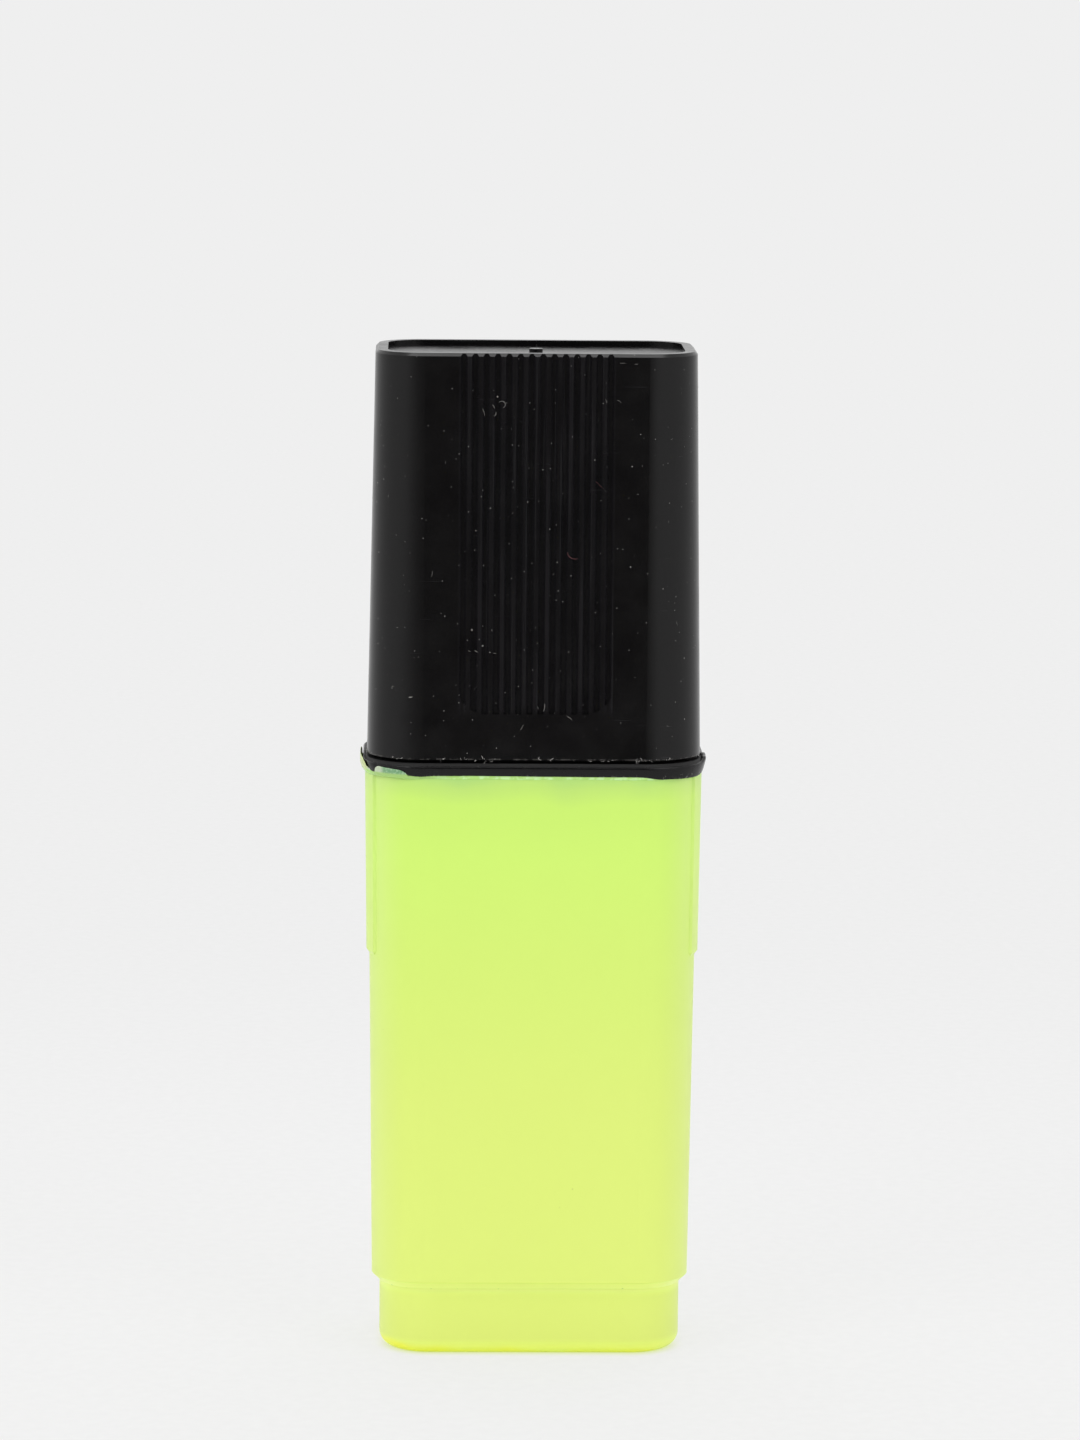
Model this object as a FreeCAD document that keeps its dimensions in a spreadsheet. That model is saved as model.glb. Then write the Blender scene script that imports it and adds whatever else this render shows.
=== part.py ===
import FreeCAD, Part
import math
import os
import Sketcher

# A flat-bodied highlighter that stands on the foot of its end plug.
#
# +Z runs up from the foot to the top of the cap, X runs along the wide side and Y through the
# thickness. The front faces -Y. The origin is the middle of the foot's flat underside.
#
# From the bottom up: the end plug closes the barrel, the ink reservoir stands on the plug, the front
# section closes the barrel's top and carries the nib, and the cap slides over the front section.

# Each driving dimension: its alias, its size in millimetres (rib_count is a number of ribs, and
# drafts, slants and bevels are degrees), and what it is.
SIZES = [
    # Outline that the barrel, the flange and the cap share
    ("body_width", 27.3, "width under the flange, over the side pads"),
    ("body_depth", 16.3, "thickness under the flange"),
    ("body_corner", 4.7, "upright corner radius"),
    # End plug
    ("foot_height", 5.65, "height of the foot under the barrel"),
    ("foot_corner", 4.0, "upright corner radius of the foot"),
    ("foot_round", 1.25, "rounding of the foot's lower edge"),
    ("post_clearance", 0.1, "room on each side of the foot inside a posted cap"),
    ("floor_thickness", 1.4, "floor of the end plug"),
    ("plug_wall", 1.1, "side wall of the end plug's spigot"),
    ("spigot_length", 4.8, "how far the plug reaches into the barrel"),
    ("spigot_lead", 0.4, "lead-in chamfer on the spigot"),
    ("plug_web", 0.8, "thickness of the plug's two inner webs"),
    ("plug_web_offset", 5.5, "middle of each web from the axis"),
    # Barrel
    ("barrel_length", 42.5, "barrel between the foot and the flange"),
    ("barrel_draft", 0.63, "draft of the barrel's sides, narrower below, degrees"),
    ("barrel_wall", 1.3, "barrel wall at its lower end"),
    ("barrel_bevel", 0.65, "bevel of the barrel's lower edge"),
    ("pad_length", 14.9, "height of the side pads under the flange"),
    ("pad_rise", 0.25, "how far a side pad stands proud of the barrel's side"),
    ("pad_depth", 11.6, "side pads through the thickness"),
    ("pad_runout", 0.65, "height over which a side pad runs out at its lower end"),
    ("socket_wall", 1.2, "barrel wall round the front section's skirt"),
    ("socket_length", 6.5, "depth of the socket for the skirt"),
    ("guide_rib_height", 0.5, "how far the barrel's inner ribs reach inwards"),
    ("guide_rib_width", 0.8, "thickness of an inner rib"),
    ("guide_rib_offset", 6.0, "middle of a front or back rib from the axis"),
    # Ink reservoir
    ("film_thickness", 0.15, "wrapping film of the reservoir"),
    ("film_play", 0.03, "room between the film and the fibre block"),
    ("reservoir_play", 0.1, "room between the reservoir and what holds it"),
    # Front section
    ("fit_clearance", 0.05, "room on each side of a push fit"),
    ("flange_thickness", 0.95, "flange that shows between barrel and cap"),
    ("flange_overhang", 0.17, "how far the flange stands proud of the barrel"),
    ("flange_bevel", 0.3, "bevel of the flange's two edges"),
    ("skirt_length", 6.2, "skirt inside the barrel's socket"),
    ("section_wall", 1.2, "side wall of the front section"),
    ("deck_thickness", 1.2, "top wall of the front section's shoulder"),
    ("shoulder_height", 5.5, "shoulder that the cap slides over"),
    ("shoulder_bevel", 0.7, "bevel of the shoulder's upper edge"),
    ("land_length", 5.5, "height of the round land that the cap's seal closes on"),
    ("land_wall", 1.2, "wall of the land round its air space"),
    ("nose_diameter", 7.9, "round nose that holds the nib"),
    ("nose_length", 9.0, "height of the nose with its taper"),
    ("nose_taper", 2.4, "height of the taper between the land and the nose"),
    ("nose_bevel", 0.5, "bevel of the nose's upper edge"),
    ("grip_length", 9.5, "length of the bore that grips the nib"),
    ("vent_width", 0.8, "width of the air slot beside the nib"),
    ("vent_depth", 0.6, "how far the air slot reaches beyond the nib's bore"),
    # Nib
    ("nib_width", 5.0, "nib along the wide side"),
    ("nib_depth", 3.4, "nib through the thickness"),
    ("nib_corner", 0.7, "rounded edges of the nib"),
    ("nib_reach", 5.6, "how far the nib stands out of the nose"),
    ("nib_slant", 30.0, "slant of the chisel across the wide side, degrees"),
    ("nib_bevel", 18.0, "bevel of the chisel's front and back, degrees"),
    ("nib_edge", 1.6, "thickness of the chisel's writing edge"),
    ("nib_sink", 5.0, "how far the nib's tail reaches into the reservoir"),
    ("nib_tail", 1.6, "thickness of the nib's tail at its lower end"),
    ("nib_tail_length", 2.6, "height of the tail's wedge"),
    # Cap
    ("cap_gap", 0.3, "dark joint between flange and cap"),
    ("cap_length", 32.6, "cap from its mouth to the rim on top"),
    ("cap_inset", 0.15, "how far the cap's mouth stands back from the barrel's outline"),
    ("cap_draft", 1.0, "draft of the cap's sides, narrower above, degrees"),
    ("cap_wall", 1.1, "side wall of the cap"),
    ("cap_top_wall", 1.35, "top wall of the cap under its recess"),
    ("cap_clearance", 0.2, "room between the cap and the shoulder"),
    ("cap_top_bevel", 0.25, "bevel of the cap's upper edge"),
    ("cap_lead", 0.3, "height of the lead-in inside the cap's mouth"),
    ("cap_lead_slant", 45.0, "slant of that lead-in, degrees"),
    ("cap_lower_room", 7.0, "height of the wider room inside the cap's lower end"),
    ("recess_rim", 1.0, "rim round the recess on top"),
    ("recess_depth", 0.45, "depth of the recess on top"),
    ("gate_diameter", 1.1, "moulding gate's mark in the recess"),
    ("gate_height", 0.3, "height of the gate's mark"),
    ("rib_count", 13, "grip ribs on each wide side"),
    ("rib_pitch", 0.9, "distance from rib to rib"),
    ("groove_mouth", 0.55, "width of the groove between two ribs, at the cap's face"),
    ("groove_floor", 0.25, "width of a groove at its floor"),
    ("groove_depth", 0.22, "depth of a groove"),
    ("comb_gap", 0.05, "how far the comb's plate stays outside the cap's face"),
    ("grip_start", 3.7, "lower end of the ribs above the cap's mouth"),
    ("grip_corner", 2.4, "rounded lower corners of the ribbed field"),
    ("collar_wall", 0.8, "wall of the collar that holds the inner cap"),
    ("collar_length", 8.0, "height of that collar"),
    # Inner cap
    ("seal_wall", 0.7, "side wall of the inner cap"),
    ("seal_room", 0.41, "room between the inner cap and the cap's front and back"),
    ("seal_end", 0.8, "closed end of the inner cap"),
    ("seal_overlap", 3.2, "how far the inner cap reaches down over the land"),
    ("seal_lead", 0.35, "lead-in chamfer at the inner cap's mouth"),
]

# Heights of the main levels above the foot's underside, as expressions on the sheet.
BARREL_BOTTOM = "Sizes.foot_height"
BARREL_TOP = f"({BARREL_BOTTOM} + Sizes.barrel_length)"
SPIGOT_TOP = f"({BARREL_BOTTOM} + Sizes.spigot_length)"
SOCKET_BOTTOM = f"({BARREL_TOP} - Sizes.socket_length)"
SKIRT_BOTTOM = f"({BARREL_TOP} - Sizes.skirt_length)"
RESERVOIR_TOP = f"({SOCKET_BOTTOM} - Sizes.reservoir_play)"
FLANGE_TOP = f"({BARREL_TOP} + Sizes.flange_thickness)"
SHOULDER_TOP = f"({FLANGE_TOP} + Sizes.shoulder_height)"
DECK_BOTTOM = f"({SHOULDER_TOP} - Sizes.deck_thickness)"
LAND_TOP = f"({SHOULDER_TOP} + Sizes.land_length)"
NOSE_TOP = f"({LAND_TOP} + Sizes.nose_length)"
NIB_TOP = f"({NOSE_TOP} + Sizes.nib_reach)"
NIB_BOTTOM = f"({RESERVOIR_TOP} - Sizes.nib_sink)"
CAP_MOUTH = f"({FLANGE_TOP} + Sizes.cap_gap)"
CAP_TOP = f"({CAP_MOUTH} + Sizes.cap_length)"
CAP_CEILING = f"({CAP_TOP} - Sizes.recess_depth - Sizes.cap_top_wall)"
SEAL_MOUTH = f"({LAND_TOP} - Sizes.seal_overlap)"

# Plan sizes that two pieces share.
BARREL_WIDTH = "(Sizes.body_width - 2 * Sizes.pad_rise)"
BARREL_TAPER = "(Sizes.barrel_length * tan(Sizes.barrel_draft))"
CAVITY_WIDTH = f"({BARREL_WIDTH} - 2 * {BARREL_TAPER} - 2 * Sizes.barrel_wall)"
CAVITY_DEPTH = f"(Sizes.body_depth - 2 * {BARREL_TAPER} - 2 * Sizes.barrel_wall)"
CAVITY_CORNER = f"(Sizes.body_corner - {BARREL_TAPER} - Sizes.barrel_wall)"
SOCKET_WIDTH = f"({BARREL_WIDTH} - 2 * Sizes.socket_wall)"
SOCKET_DEPTH = "(Sizes.body_depth - 2 * Sizes.socket_wall)"
SOCKET_CORNER = "(Sizes.body_corner - Sizes.socket_wall)"
HOLD = "(Sizes.guide_rib_height + Sizes.reservoir_play)"
WRAP_WIDTH = f"({CAVITY_WIDTH} - 2 * {HOLD})"
WRAP_DEPTH = f"({CAVITY_DEPTH} - 2 * {HOLD})"
WRAP_CORNER = f"({CAVITY_CORNER} - {HOLD})"
CAP_WIDTH = "(Sizes.body_width - 2 * Sizes.cap_inset)"
CAP_DEPTH = "(Sizes.body_depth - 2 * Sizes.cap_inset)"
CAP_CORNER = "(Sizes.body_corner - Sizes.cap_inset)"
CAP_TAPER = "(Sizes.cap_length * tan(Sizes.cap_draft))"
POSTING_ROOM = "(Sizes.cap_wall + Sizes.post_clearance)"
FOOT_WIDTH = f"({CAP_WIDTH} - 2 * {POSTING_ROOM})"
FOOT_DEPTH = f"({CAP_DEPTH} - 2 * {POSTING_ROOM})"
CORE_TAPER = f"(({CAP_CEILING} - {CAP_MOUTH}) * tan(Sizes.cap_draft))"
UPPER_ROOM_DEPTH = f"({CAP_DEPTH} - 2 * Sizes.cap_wall - 2 * {CORE_TAPER})"
SEAL_OUTSIDE = f"({UPPER_ROOM_DEPTH} - 2 * Sizes.seal_room)"
SEAL_BORE = f"({SEAL_OUTSIDE} - 2 * Sizes.seal_wall)"
LAND_DIAMETER = f"({SEAL_BORE} - 2 * Sizes.fit_clearance)"
AIR_DIAMETER = f"({LAND_DIAMETER} - 2 * Sizes.land_wall)"

XY, XZ, YZ = "XY_Plane", "XZ_Plane", "YZ_Plane"
ORIGIN = (-1, 1)
TINY = 1e-4

document = FreeCAD.newDocument("highlighter")
sheet = document.addObject("Spreadsheet::Sheet", "Sizes")
for row, (alias, size, meaning) in enumerate(SIZES, start=1):
    sheet.set(f"A{row}", meaning)
    sheet.set(f"B{row}", str(size))
    sheet.setAlias(f"B{row}", alias)
document.recompute()


def value(expression):
    """The number that an expression on the sheet gives."""
    result = sheet.evalExpression(expression)
    return float(getattr(result, "Value", result))


def new_body(label):
    """An empty body with its label."""
    body = document.addObject("PartDesign::Body", label)
    body.Label = label
    return body


def new_sketch(body, name, plane, level):
    """A sketch parallel to one of the body's origin planes, `level` along that plane's normal."""
    sketch = body.newObject("Sketcher::SketchObject", name)
    support = [feature for feature in body.Origin.OriginFeatures if feature.Role == plane]
    sketch.AttachmentSupport = [(support[0], "")]
    sketch.MapMode = "FlatFace"
    sketch.setExpression("AttachmentOffset.Base.z", level)
    return sketch


def start_of(line):
    """The first end of a sketch line or arc, in the form that constraints take."""
    return line, 1


def end_of(line):
    """The last end of a sketch line or arc."""
    return line, 2


def middle_of(arc):
    """The middle of a sketch arc or circle."""
    return arc, 3


def on_upright_axis(point):
    """A constraint that keeps a point on its sketch's upright axis."""
    return Sketcher.Constraint("PointOnObject", *point, -2)


def on_level_axis(point):
    """A constraint that keeps a point on its sketch's level axis."""
    return Sketcher.Constraint("PointOnObject", *point, -1)


def bind(sketch, constraint, expression):
    """Adds a dimension to a sketch and ties it to the sheet."""
    index = sketch.addConstraint(constraint)
    name = f"size_{index}"
    sketch.renameConstraint(index, name)
    sketch.setExpression(f"Constraints.{name}", expression)


def add_rounded_loop(sketch, width, depth, corner):
    """A rectangle with round corners about the sketch's origin: four arcs joined by four lines."""
    radius = value(corner)
    centre_x = value(width) / 2 - radius
    centre_y = value(depth) / 2 - radius
    first = sketch.GeometryCount
    arcs = []
    for quarter, (side_x, side_y) in enumerate([(1, 1), (-1, 1), (-1, -1), (1, -1)]):
        centre = FreeCAD.Vector(side_x * centre_x, side_y * centre_y, 0)
        circle = Part.Circle(centre, FreeCAD.Vector(0, 0, 1), radius)
        start = quarter * math.pi / 2
        arcs.append(Part.ArcOfCircle(circle, start, start + math.pi / 2))
    for arc in arcs:
        sketch.addGeometry(arc, False)
    for quarter in range(4):
        line = Part.LineSegment(arcs[quarter].EndPoint, arcs[(quarter + 1) % 4].StartPoint)
        sketch.addGeometry(line, False)
    for quarter in range(4):
        arc = first + quarter
        line = first + 4 + quarter
        next_arc = first + (quarter + 1) % 4
        sketch.addConstraint(Sketcher.Constraint("Tangent", *end_of(arc), *start_of(line)))
        sketch.addConstraint(Sketcher.Constraint("Tangent", *end_of(line), *start_of(next_arc)))
        level = "Horizontal" if quarter % 2 == 0 else "Vertical"
        sketch.addConstraint(Sketcher.Constraint(level, line))
        if quarter:
            sketch.addConstraint(Sketcher.Constraint("Equal", first, arc))
    middles = [middle_of(first + quarter) for quarter in range(4)]
    sketch.addConstraint(Sketcher.Constraint("Symmetric", *middles[0], *middles[2], *ORIGIN))
    across = Sketcher.Constraint("DistanceX", *middles[1], *middles[0], 2 * centre_x)
    bind(sketch, across, f"{width} - 2 * {corner}")
    along = Sketcher.Constraint("DistanceY", *middles[3], *middles[0], 2 * centre_y)
    bind(sketch, along, f"{depth} - 2 * {corner}")
    bind(sketch, Sketcher.Constraint("Radius", first, radius), corner)


def rounded_rectangle(body, name, level, width, depth, corner):
    """A level sketch of one rounded rectangle, centred on the upright axis."""
    sketch = new_sketch(body, name, XY, level)
    add_rounded_loop(sketch, width, depth, corner)
    return sketch


def add_polygon(sketch, corners):
    """A closed outline of straight lines through corners given as pairs of expressions."""
    points = [FreeCAD.Vector(value(x), value(y), 0) for x, y in corners]
    first = sketch.GeometryCount
    count = len(points)
    for index in range(count):
        line = Part.LineSegment(points[index], points[(index + 1) % count])
        sketch.addGeometry(line, False)
    for index in range(count):
        line = first + index
        next_line = first + (index + 1) % count
        sketch.addConstraint(Sketcher.Constraint("Coincident", *end_of(line), *start_of(next_line)))
    for index, (x, y) in enumerate(corners):
        line = first + index
        if x == "0":
            sketch.addConstraint(on_upright_axis(start_of(line)))
        else:
            side = Sketcher.Constraint("DistanceX", *ORIGIN, *start_of(line), points[index].x)
            bind(sketch, side, x)
        if y == "0":
            sketch.addConstraint(on_level_axis(start_of(line)))
        else:
            rise = Sketcher.Constraint("DistanceY", *ORIGIN, *start_of(line), points[index].y)
            bind(sketch, rise, y)


def rectangle_corners(left, right, low, high):
    """The four corners of a rectangle, as pairs of expressions."""
    return [(left, low), (right, low), (right, high), (left, high)]


def add_circle(sketch, x, y, diameter):
    """A circle whose middle and diameter are expressions."""
    centre = FreeCAD.Vector(value(x), value(y), 0)
    circle = Part.Circle(centre, FreeCAD.Vector(0, 0, 1), value(diameter) / 2)
    index = sketch.addGeometry(circle, False)
    middle = middle_of(index)
    if x == "0":
        sketch.addConstraint(on_upright_axis(middle))
    else:
        bind(sketch, Sketcher.Constraint("DistanceX", *ORIGIN, *middle, centre.x), x)
    if y == "0":
        sketch.addConstraint(on_level_axis(middle))
    else:
        bind(sketch, Sketcher.Constraint("DistanceY", *ORIGIN, *middle, centre.y), y)
    bind(sketch, Sketcher.Constraint("Diameter", index, value(diameter)), diameter)


def pad(body, name, sketch, length, downwards=False, draft=None):
    """Adds the sketch's area to the body along its normal, narrowing by an angle of draft."""
    feature = body.newObject("PartDesign::Pad", name)
    feature.Profile = sketch
    feature.Reversed = downwards
    feature.setExpression("Length", length)
    if draft:
        feature.setExpression("TaperAngle", f"-{draft}")
    document.recompute()
    return feature


def pocket(body, name, sketch, length=None, upwards=False, both_ways=False, draft=None):
    """Cuts the sketch's area out of the body, over a length or right through it."""
    feature = body.newObject("PartDesign::Pocket", name)
    feature.Profile = sketch
    feature.Reversed = upwards
    if length is None:
        feature.Type = "ThroughAll"
    else:
        feature.setExpression("Length", length)
    if both_ways:
        feature.SideType = "Symmetric"
    if draft:
        feature.setExpression("TaperAngle", f"-{draft}")
    document.recompute()
    return feature


def revolve(body, name, sketch):
    """Turns an upright half section right round the upright axis."""
    feature = body.newObject("PartDesign::Revolution", name)
    feature.Profile = sketch
    feature.ReferenceAxis = (sketch, ["V_Axis"])
    feature.Angle = 360.0
    document.recompute()
    return feature


def level_edges(feature, level, outermost=True):
    """Names of the outermost, or the innermost, loop of edges at one height of a feature."""
    height = value(level)
    rim = []
    for wire_face in feature.Shape.Faces:
        box = wire_face.BoundBox
        if abs(box.ZMin - height) < TINY and abs(box.ZMax - height) < TINY:
            wires = sorted(wire_face.Wires, key=lambda wire: wire.BoundBox.DiagonalLength)
            rim.append(wires[-1] if outermost else wires[0])
    rim.sort(key=lambda wire: wire.BoundBox.DiagonalLength)
    wanted = rim[-1] if outermost else rim[0]
    names = []
    for number, edge in enumerate(feature.Shape.Edges, start=1):
        if any(edge.isSame(member) for member in wanted.Edges):
            names.append(f"Edge{number}")
    return names


def fillet(body, name, base, edges, radius):
    """Rounds named edges of the feature before it."""
    feature = body.newObject("PartDesign::Fillet", name)
    feature.Base = (base, edges)
    feature.setExpression("Radius", radius)
    document.recompute()
    return feature


def chamfer(body, name, base, edges, size):
    """Bevels named edges of the feature before it."""
    feature = body.newObject("PartDesign::Chamfer", name)
    feature.Base = (base, edges)
    feature.setExpression("Size", size)
    document.recompute()
    return feature


def mirror(body, name, originals, plane):
    """Repeats features on the other side of one of the body's origin planes."""
    feature = body.newObject("PartDesign::Mirrored", name)
    feature.Originals = originals
    support = [item for item in body.Origin.OriginFeatures if item.Role == plane]
    feature.MirrorPlane = (support[0], [""])
    body.Tip = feature
    document.recompute()
    return feature


def make_end_plug():
    """The foot with its spigot: a cup that closes the barrel's lower end."""
    body = new_body("end_plug")
    foot = rounded_rectangle(body, "foot_outline", "0", FOOT_WIDTH, FOOT_DEPTH,
                             "Sizes.foot_corner")
    foot_pad = pad(body, "foot", foot, "Sizes.foot_height")
    fillet(body, "foot_lower_edge", foot_pad, level_edges(foot_pad, "0"), "Sizes.foot_round")
    spigot_width = f"({CAVITY_WIDTH} - 2 * Sizes.fit_clearance)"
    spigot_depth = f"({CAVITY_DEPTH} - 2 * Sizes.fit_clearance)"
    spigot_corner = f"({CAVITY_CORNER} - Sizes.fit_clearance)"
    spigot = rounded_rectangle(body, "spigot_outline", BARREL_BOTTOM, spigot_width, spigot_depth,
                               spigot_corner)
    spigot_pad = pad(body, "spigot", spigot, "Sizes.spigot_length")
    chamfer(body, "spigot_lead_in", spigot_pad, level_edges(spigot_pad, SPIGOT_TOP),
            "Sizes.spigot_lead")
    hollow = rounded_rectangle(body, "hollow_outline", SPIGOT_TOP,
                               f"({spigot_width} - 2 * Sizes.plug_wall)",
                               f"({spigot_depth} - 2 * Sizes.plug_wall)",
                               f"({spigot_corner} - Sizes.plug_wall)")
    pocket(body, "hollow", hollow, f"{SPIGOT_TOP} - Sizes.floor_thickness")
    web = new_sketch(body, "web_outline", XY, "Sizes.floor_thickness")
    half_depth = f"({spigot_depth} / 2 - Sizes.plug_wall / 2)"
    add_polygon(web, rectangle_corners("Sizes.plug_web_offset - Sizes.plug_web / 2",
                                       "Sizes.plug_web_offset + Sizes.plug_web / 2",
                                       f"-{half_depth}", half_depth))
    web_pad = pad(body, "web", web, f"{SPIGOT_TOP} - Sizes.floor_thickness")
    mirror(body, "web_pair", [web_pad], YZ)
    return body


def side_pad_outline(body, name, below):
    """The body's outline less a strip along its front and its back, `below` the barrel's top.

    Each end is a flat between two short arcs, and two straight cuts join the ends. The draft
    draws the whole outline in on the way down.
    """
    sketch = new_sketch(body, name, XY, f"{BARREL_TOP} - {below}")
    inset = f"({below} * tan(Sizes.barrel_draft))"
    across = "(Sizes.body_width / 2 - Sizes.body_corner)"
    along = "(Sizes.body_depth / 2 - Sizes.body_corner)"
    corner = f"(Sizes.body_corner - {inset})"
    cut = f"(Sizes.pad_depth / 2 - {inset})"
    centre_x, centre_y, radius = value(across), value(along), value(corner)
    sweep = math.asin((value(cut) - centre_y) / radius)
    for side in (1, -1):
        for half in (1, -1):
            centre = FreeCAD.Vector(side * centre_x, side * half * centre_y, 0)
            circle = Part.Circle(centre, FreeCAD.Vector(0, 0, 1), radius)
            facing = 0 if side > 0 else math.pi
            turns = sorted((facing, facing + half * sweep))
            sketch.addGeometry(Part.ArcOfCircle(circle, *turns), False)
    upper_right, lower_right, lower_left, upper_left = range(4)
    joints = [(end_of(lower_right), start_of(upper_right)),
              (end_of(upper_right), start_of(upper_left)),
              (end_of(upper_left), start_of(lower_left)),
              (end_of(lower_left), start_of(lower_right))]
    for number, (here, there) in enumerate(joints):
        line = sketch.addGeometry(Part.LineSegment(sketch.getPoint(*here),
                                                   sketch.getPoint(*there)), False)
        flat = number % 2 == 0
        joined = "Tangent" if flat else "Coincident"
        sketch.addConstraint(Sketcher.Constraint(joined, *here, *start_of(line)))
        sketch.addConstraint(Sketcher.Constraint(joined, *end_of(line), *there))
        sketch.addConstraint(Sketcher.Constraint("Vertical" if flat else "Horizontal", line))
        if not flat:
            height = value(cut) if number == 1 else -value(cut)
            edge = Sketcher.Constraint("DistanceY", *ORIGIN, *start_of(line), height)
            bind(sketch, edge, cut if number == 1 else f"-{cut}")
    for arc in (lower_right, lower_left, upper_left):
        sketch.addConstraint(Sketcher.Constraint("Equal", upper_right, arc))
    bind(sketch, Sketcher.Constraint("Radius", upper_right, radius), corner)
    for arc, side_x, side_y in ((upper_right, 1, 1), (lower_left, -1, -1)):
        middle = middle_of(arc)
        place_x = Sketcher.Constraint("DistanceX", *ORIGIN, *middle, side_x * centre_x)
        bind(sketch, place_x, f"{side_x} * {across}")
        place_y = Sketcher.Constraint("DistanceY", *ORIGIN, *middle, side_y * centre_y)
        bind(sketch, place_y, f"{side_y} * {along}")
    for arc, side_y in ((upper_left, 1), (lower_right, -1)):
        place_y = Sketcher.Constraint("DistanceY", *ORIGIN, *middle_of(arc), side_y * centre_y)
        bind(sketch, place_y, f"{side_y} * {along}")
    return sketch


def make_barrel():
    """The tube: drafted walls, side pads, a socket on top and ribs that hold the reservoir."""
    body = new_body("barrel")
    outline = rounded_rectangle(body, "outline", BARREL_TOP, BARREL_WIDTH, "Sizes.body_depth",
                                "Sizes.body_corner")
    outside = pad(body, "outside", outline, "Sizes.barrel_length", downwards=True,
                  draft="Sizes.barrel_draft")
    chamfer(body, "lower_edge", outside, level_edges(outside, BARREL_BOTTOM), "Sizes.barrel_bevel")

    # The side pads are the ends of one wider slab, which runs out just below them.
    pads = side_pad_outline(body, "pad_outline", "0")
    pad(body, "side_pads", pads, "Sizes.pad_length", downwards=True, draft="Sizes.barrel_draft")
    runout = side_pad_outline(body, "pad_runout_outline", "Sizes.pad_length")
    pad(body, "pad_runout", runout, "Sizes.pad_runout", downwards=True,
        draft="atan(2 * Sizes.pad_rise / Sizes.pad_runout)")

    cavity = rounded_rectangle(body, "cavity_outline", BARREL_TOP, CAVITY_WIDTH, CAVITY_DEPTH,
                               CAVITY_CORNER)
    pocket(body, "cavity", cavity)
    socket = rounded_rectangle(body, "socket_outline", BARREL_TOP, SOCKET_WIDTH, SOCKET_DEPTH,
                               SOCKET_CORNER)
    pocket(body, "socket", socket, "Sizes.socket_length")

    rib_length = f"{SOCKET_BOTTOM} - {SPIGOT_TOP} - Sizes.reservoir_play"
    rib_start = f"{SPIGOT_TOP} + Sizes.reservoir_play"
    half_rib = "Sizes.guide_rib_width / 2"
    root = "Sizes.barrel_wall / 2"
    face_rib = new_sketch(body, "face_rib_outline", XY, rib_start)
    add_polygon(face_rib, rectangle_corners(
        f"Sizes.guide_rib_offset - {half_rib}", f"Sizes.guide_rib_offset + {half_rib}",
        f"-{CAVITY_DEPTH} / 2 - {root}", f"-{CAVITY_DEPTH} / 2 + Sizes.guide_rib_height"))
    face_pad = pad(body, "face_rib", face_rib, rib_length)
    side_rib = new_sketch(body, "side_rib_outline", XY, rib_start)
    add_polygon(side_rib, rectangle_corners(
        f"{CAVITY_WIDTH} / 2 - Sizes.guide_rib_height", f"{CAVITY_WIDTH} / 2 + {root}",
        f"-{half_rib}", half_rib))
    side_pad = pad(body, "side_rib", side_rib, rib_length)
    ribs = body.newObject("PartDesign::MultiTransform", "rib_set")
    ribs.Originals = [face_pad, side_pad]
    across = body.newObject("PartDesign::Mirrored", "left_and_right")
    along = body.newObject("PartDesign::Mirrored", "front_and_back")
    for step, plane in ((across, YZ), (along, XZ)):
        support = [item for item in body.Origin.OriginFeatures if item.Role == plane]
        step.MirrorPlane = (support[0], [""])
    ribs.Transformations = [across, along]
    body.Tip = ribs
    document.recompute()
    return body


def make_reservoir_core():
    """The ink-soaked fibre block, with the pocket that the nib's tail has pressed into it."""
    body = new_body("reservoir_core")
    gap = "(Sizes.film_thickness + Sizes.film_play)"
    outline = rounded_rectangle(body, "core_outline", SPIGOT_TOP, f"({WRAP_WIDTH} - 2 * {gap})",
                                f"({WRAP_DEPTH} - 2 * {gap})", f"({WRAP_CORNER} - {gap})")
    pad(body, "core", outline, f"{RESERVOIR_TOP} - {SPIGOT_TOP}")
    tail = rounded_rectangle(body, "tail_pocket_outline", RESERVOIR_TOP,
                             "(Sizes.nib_width + 2 * Sizes.fit_clearance)",
                             "(Sizes.nib_depth + 2 * Sizes.fit_clearance)",
                             "(Sizes.nib_corner + Sizes.fit_clearance)")
    pocket(body, "tail_pocket", tail, "Sizes.nib_sink")
    return body


def make_reservoir_film():
    """The thin sleeve of film that keeps the ink inside the fibre block."""
    body = new_body("reservoir_film")
    outside = rounded_rectangle(body, "film_outline", SPIGOT_TOP, WRAP_WIDTH, WRAP_DEPTH,
                                WRAP_CORNER)
    pad(body, "film", outside, f"{RESERVOIR_TOP} - {SPIGOT_TOP}")
    inside = rounded_rectangle(body, "film_inside", RESERVOIR_TOP,
                               f"({WRAP_WIDTH} - 2 * Sizes.film_thickness)",
                               f"({WRAP_DEPTH} - 2 * Sizes.film_thickness)",
                               f"({WRAP_CORNER} - Sizes.film_thickness)")
    pocket(body, "film_bore", inside)
    return body


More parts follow.
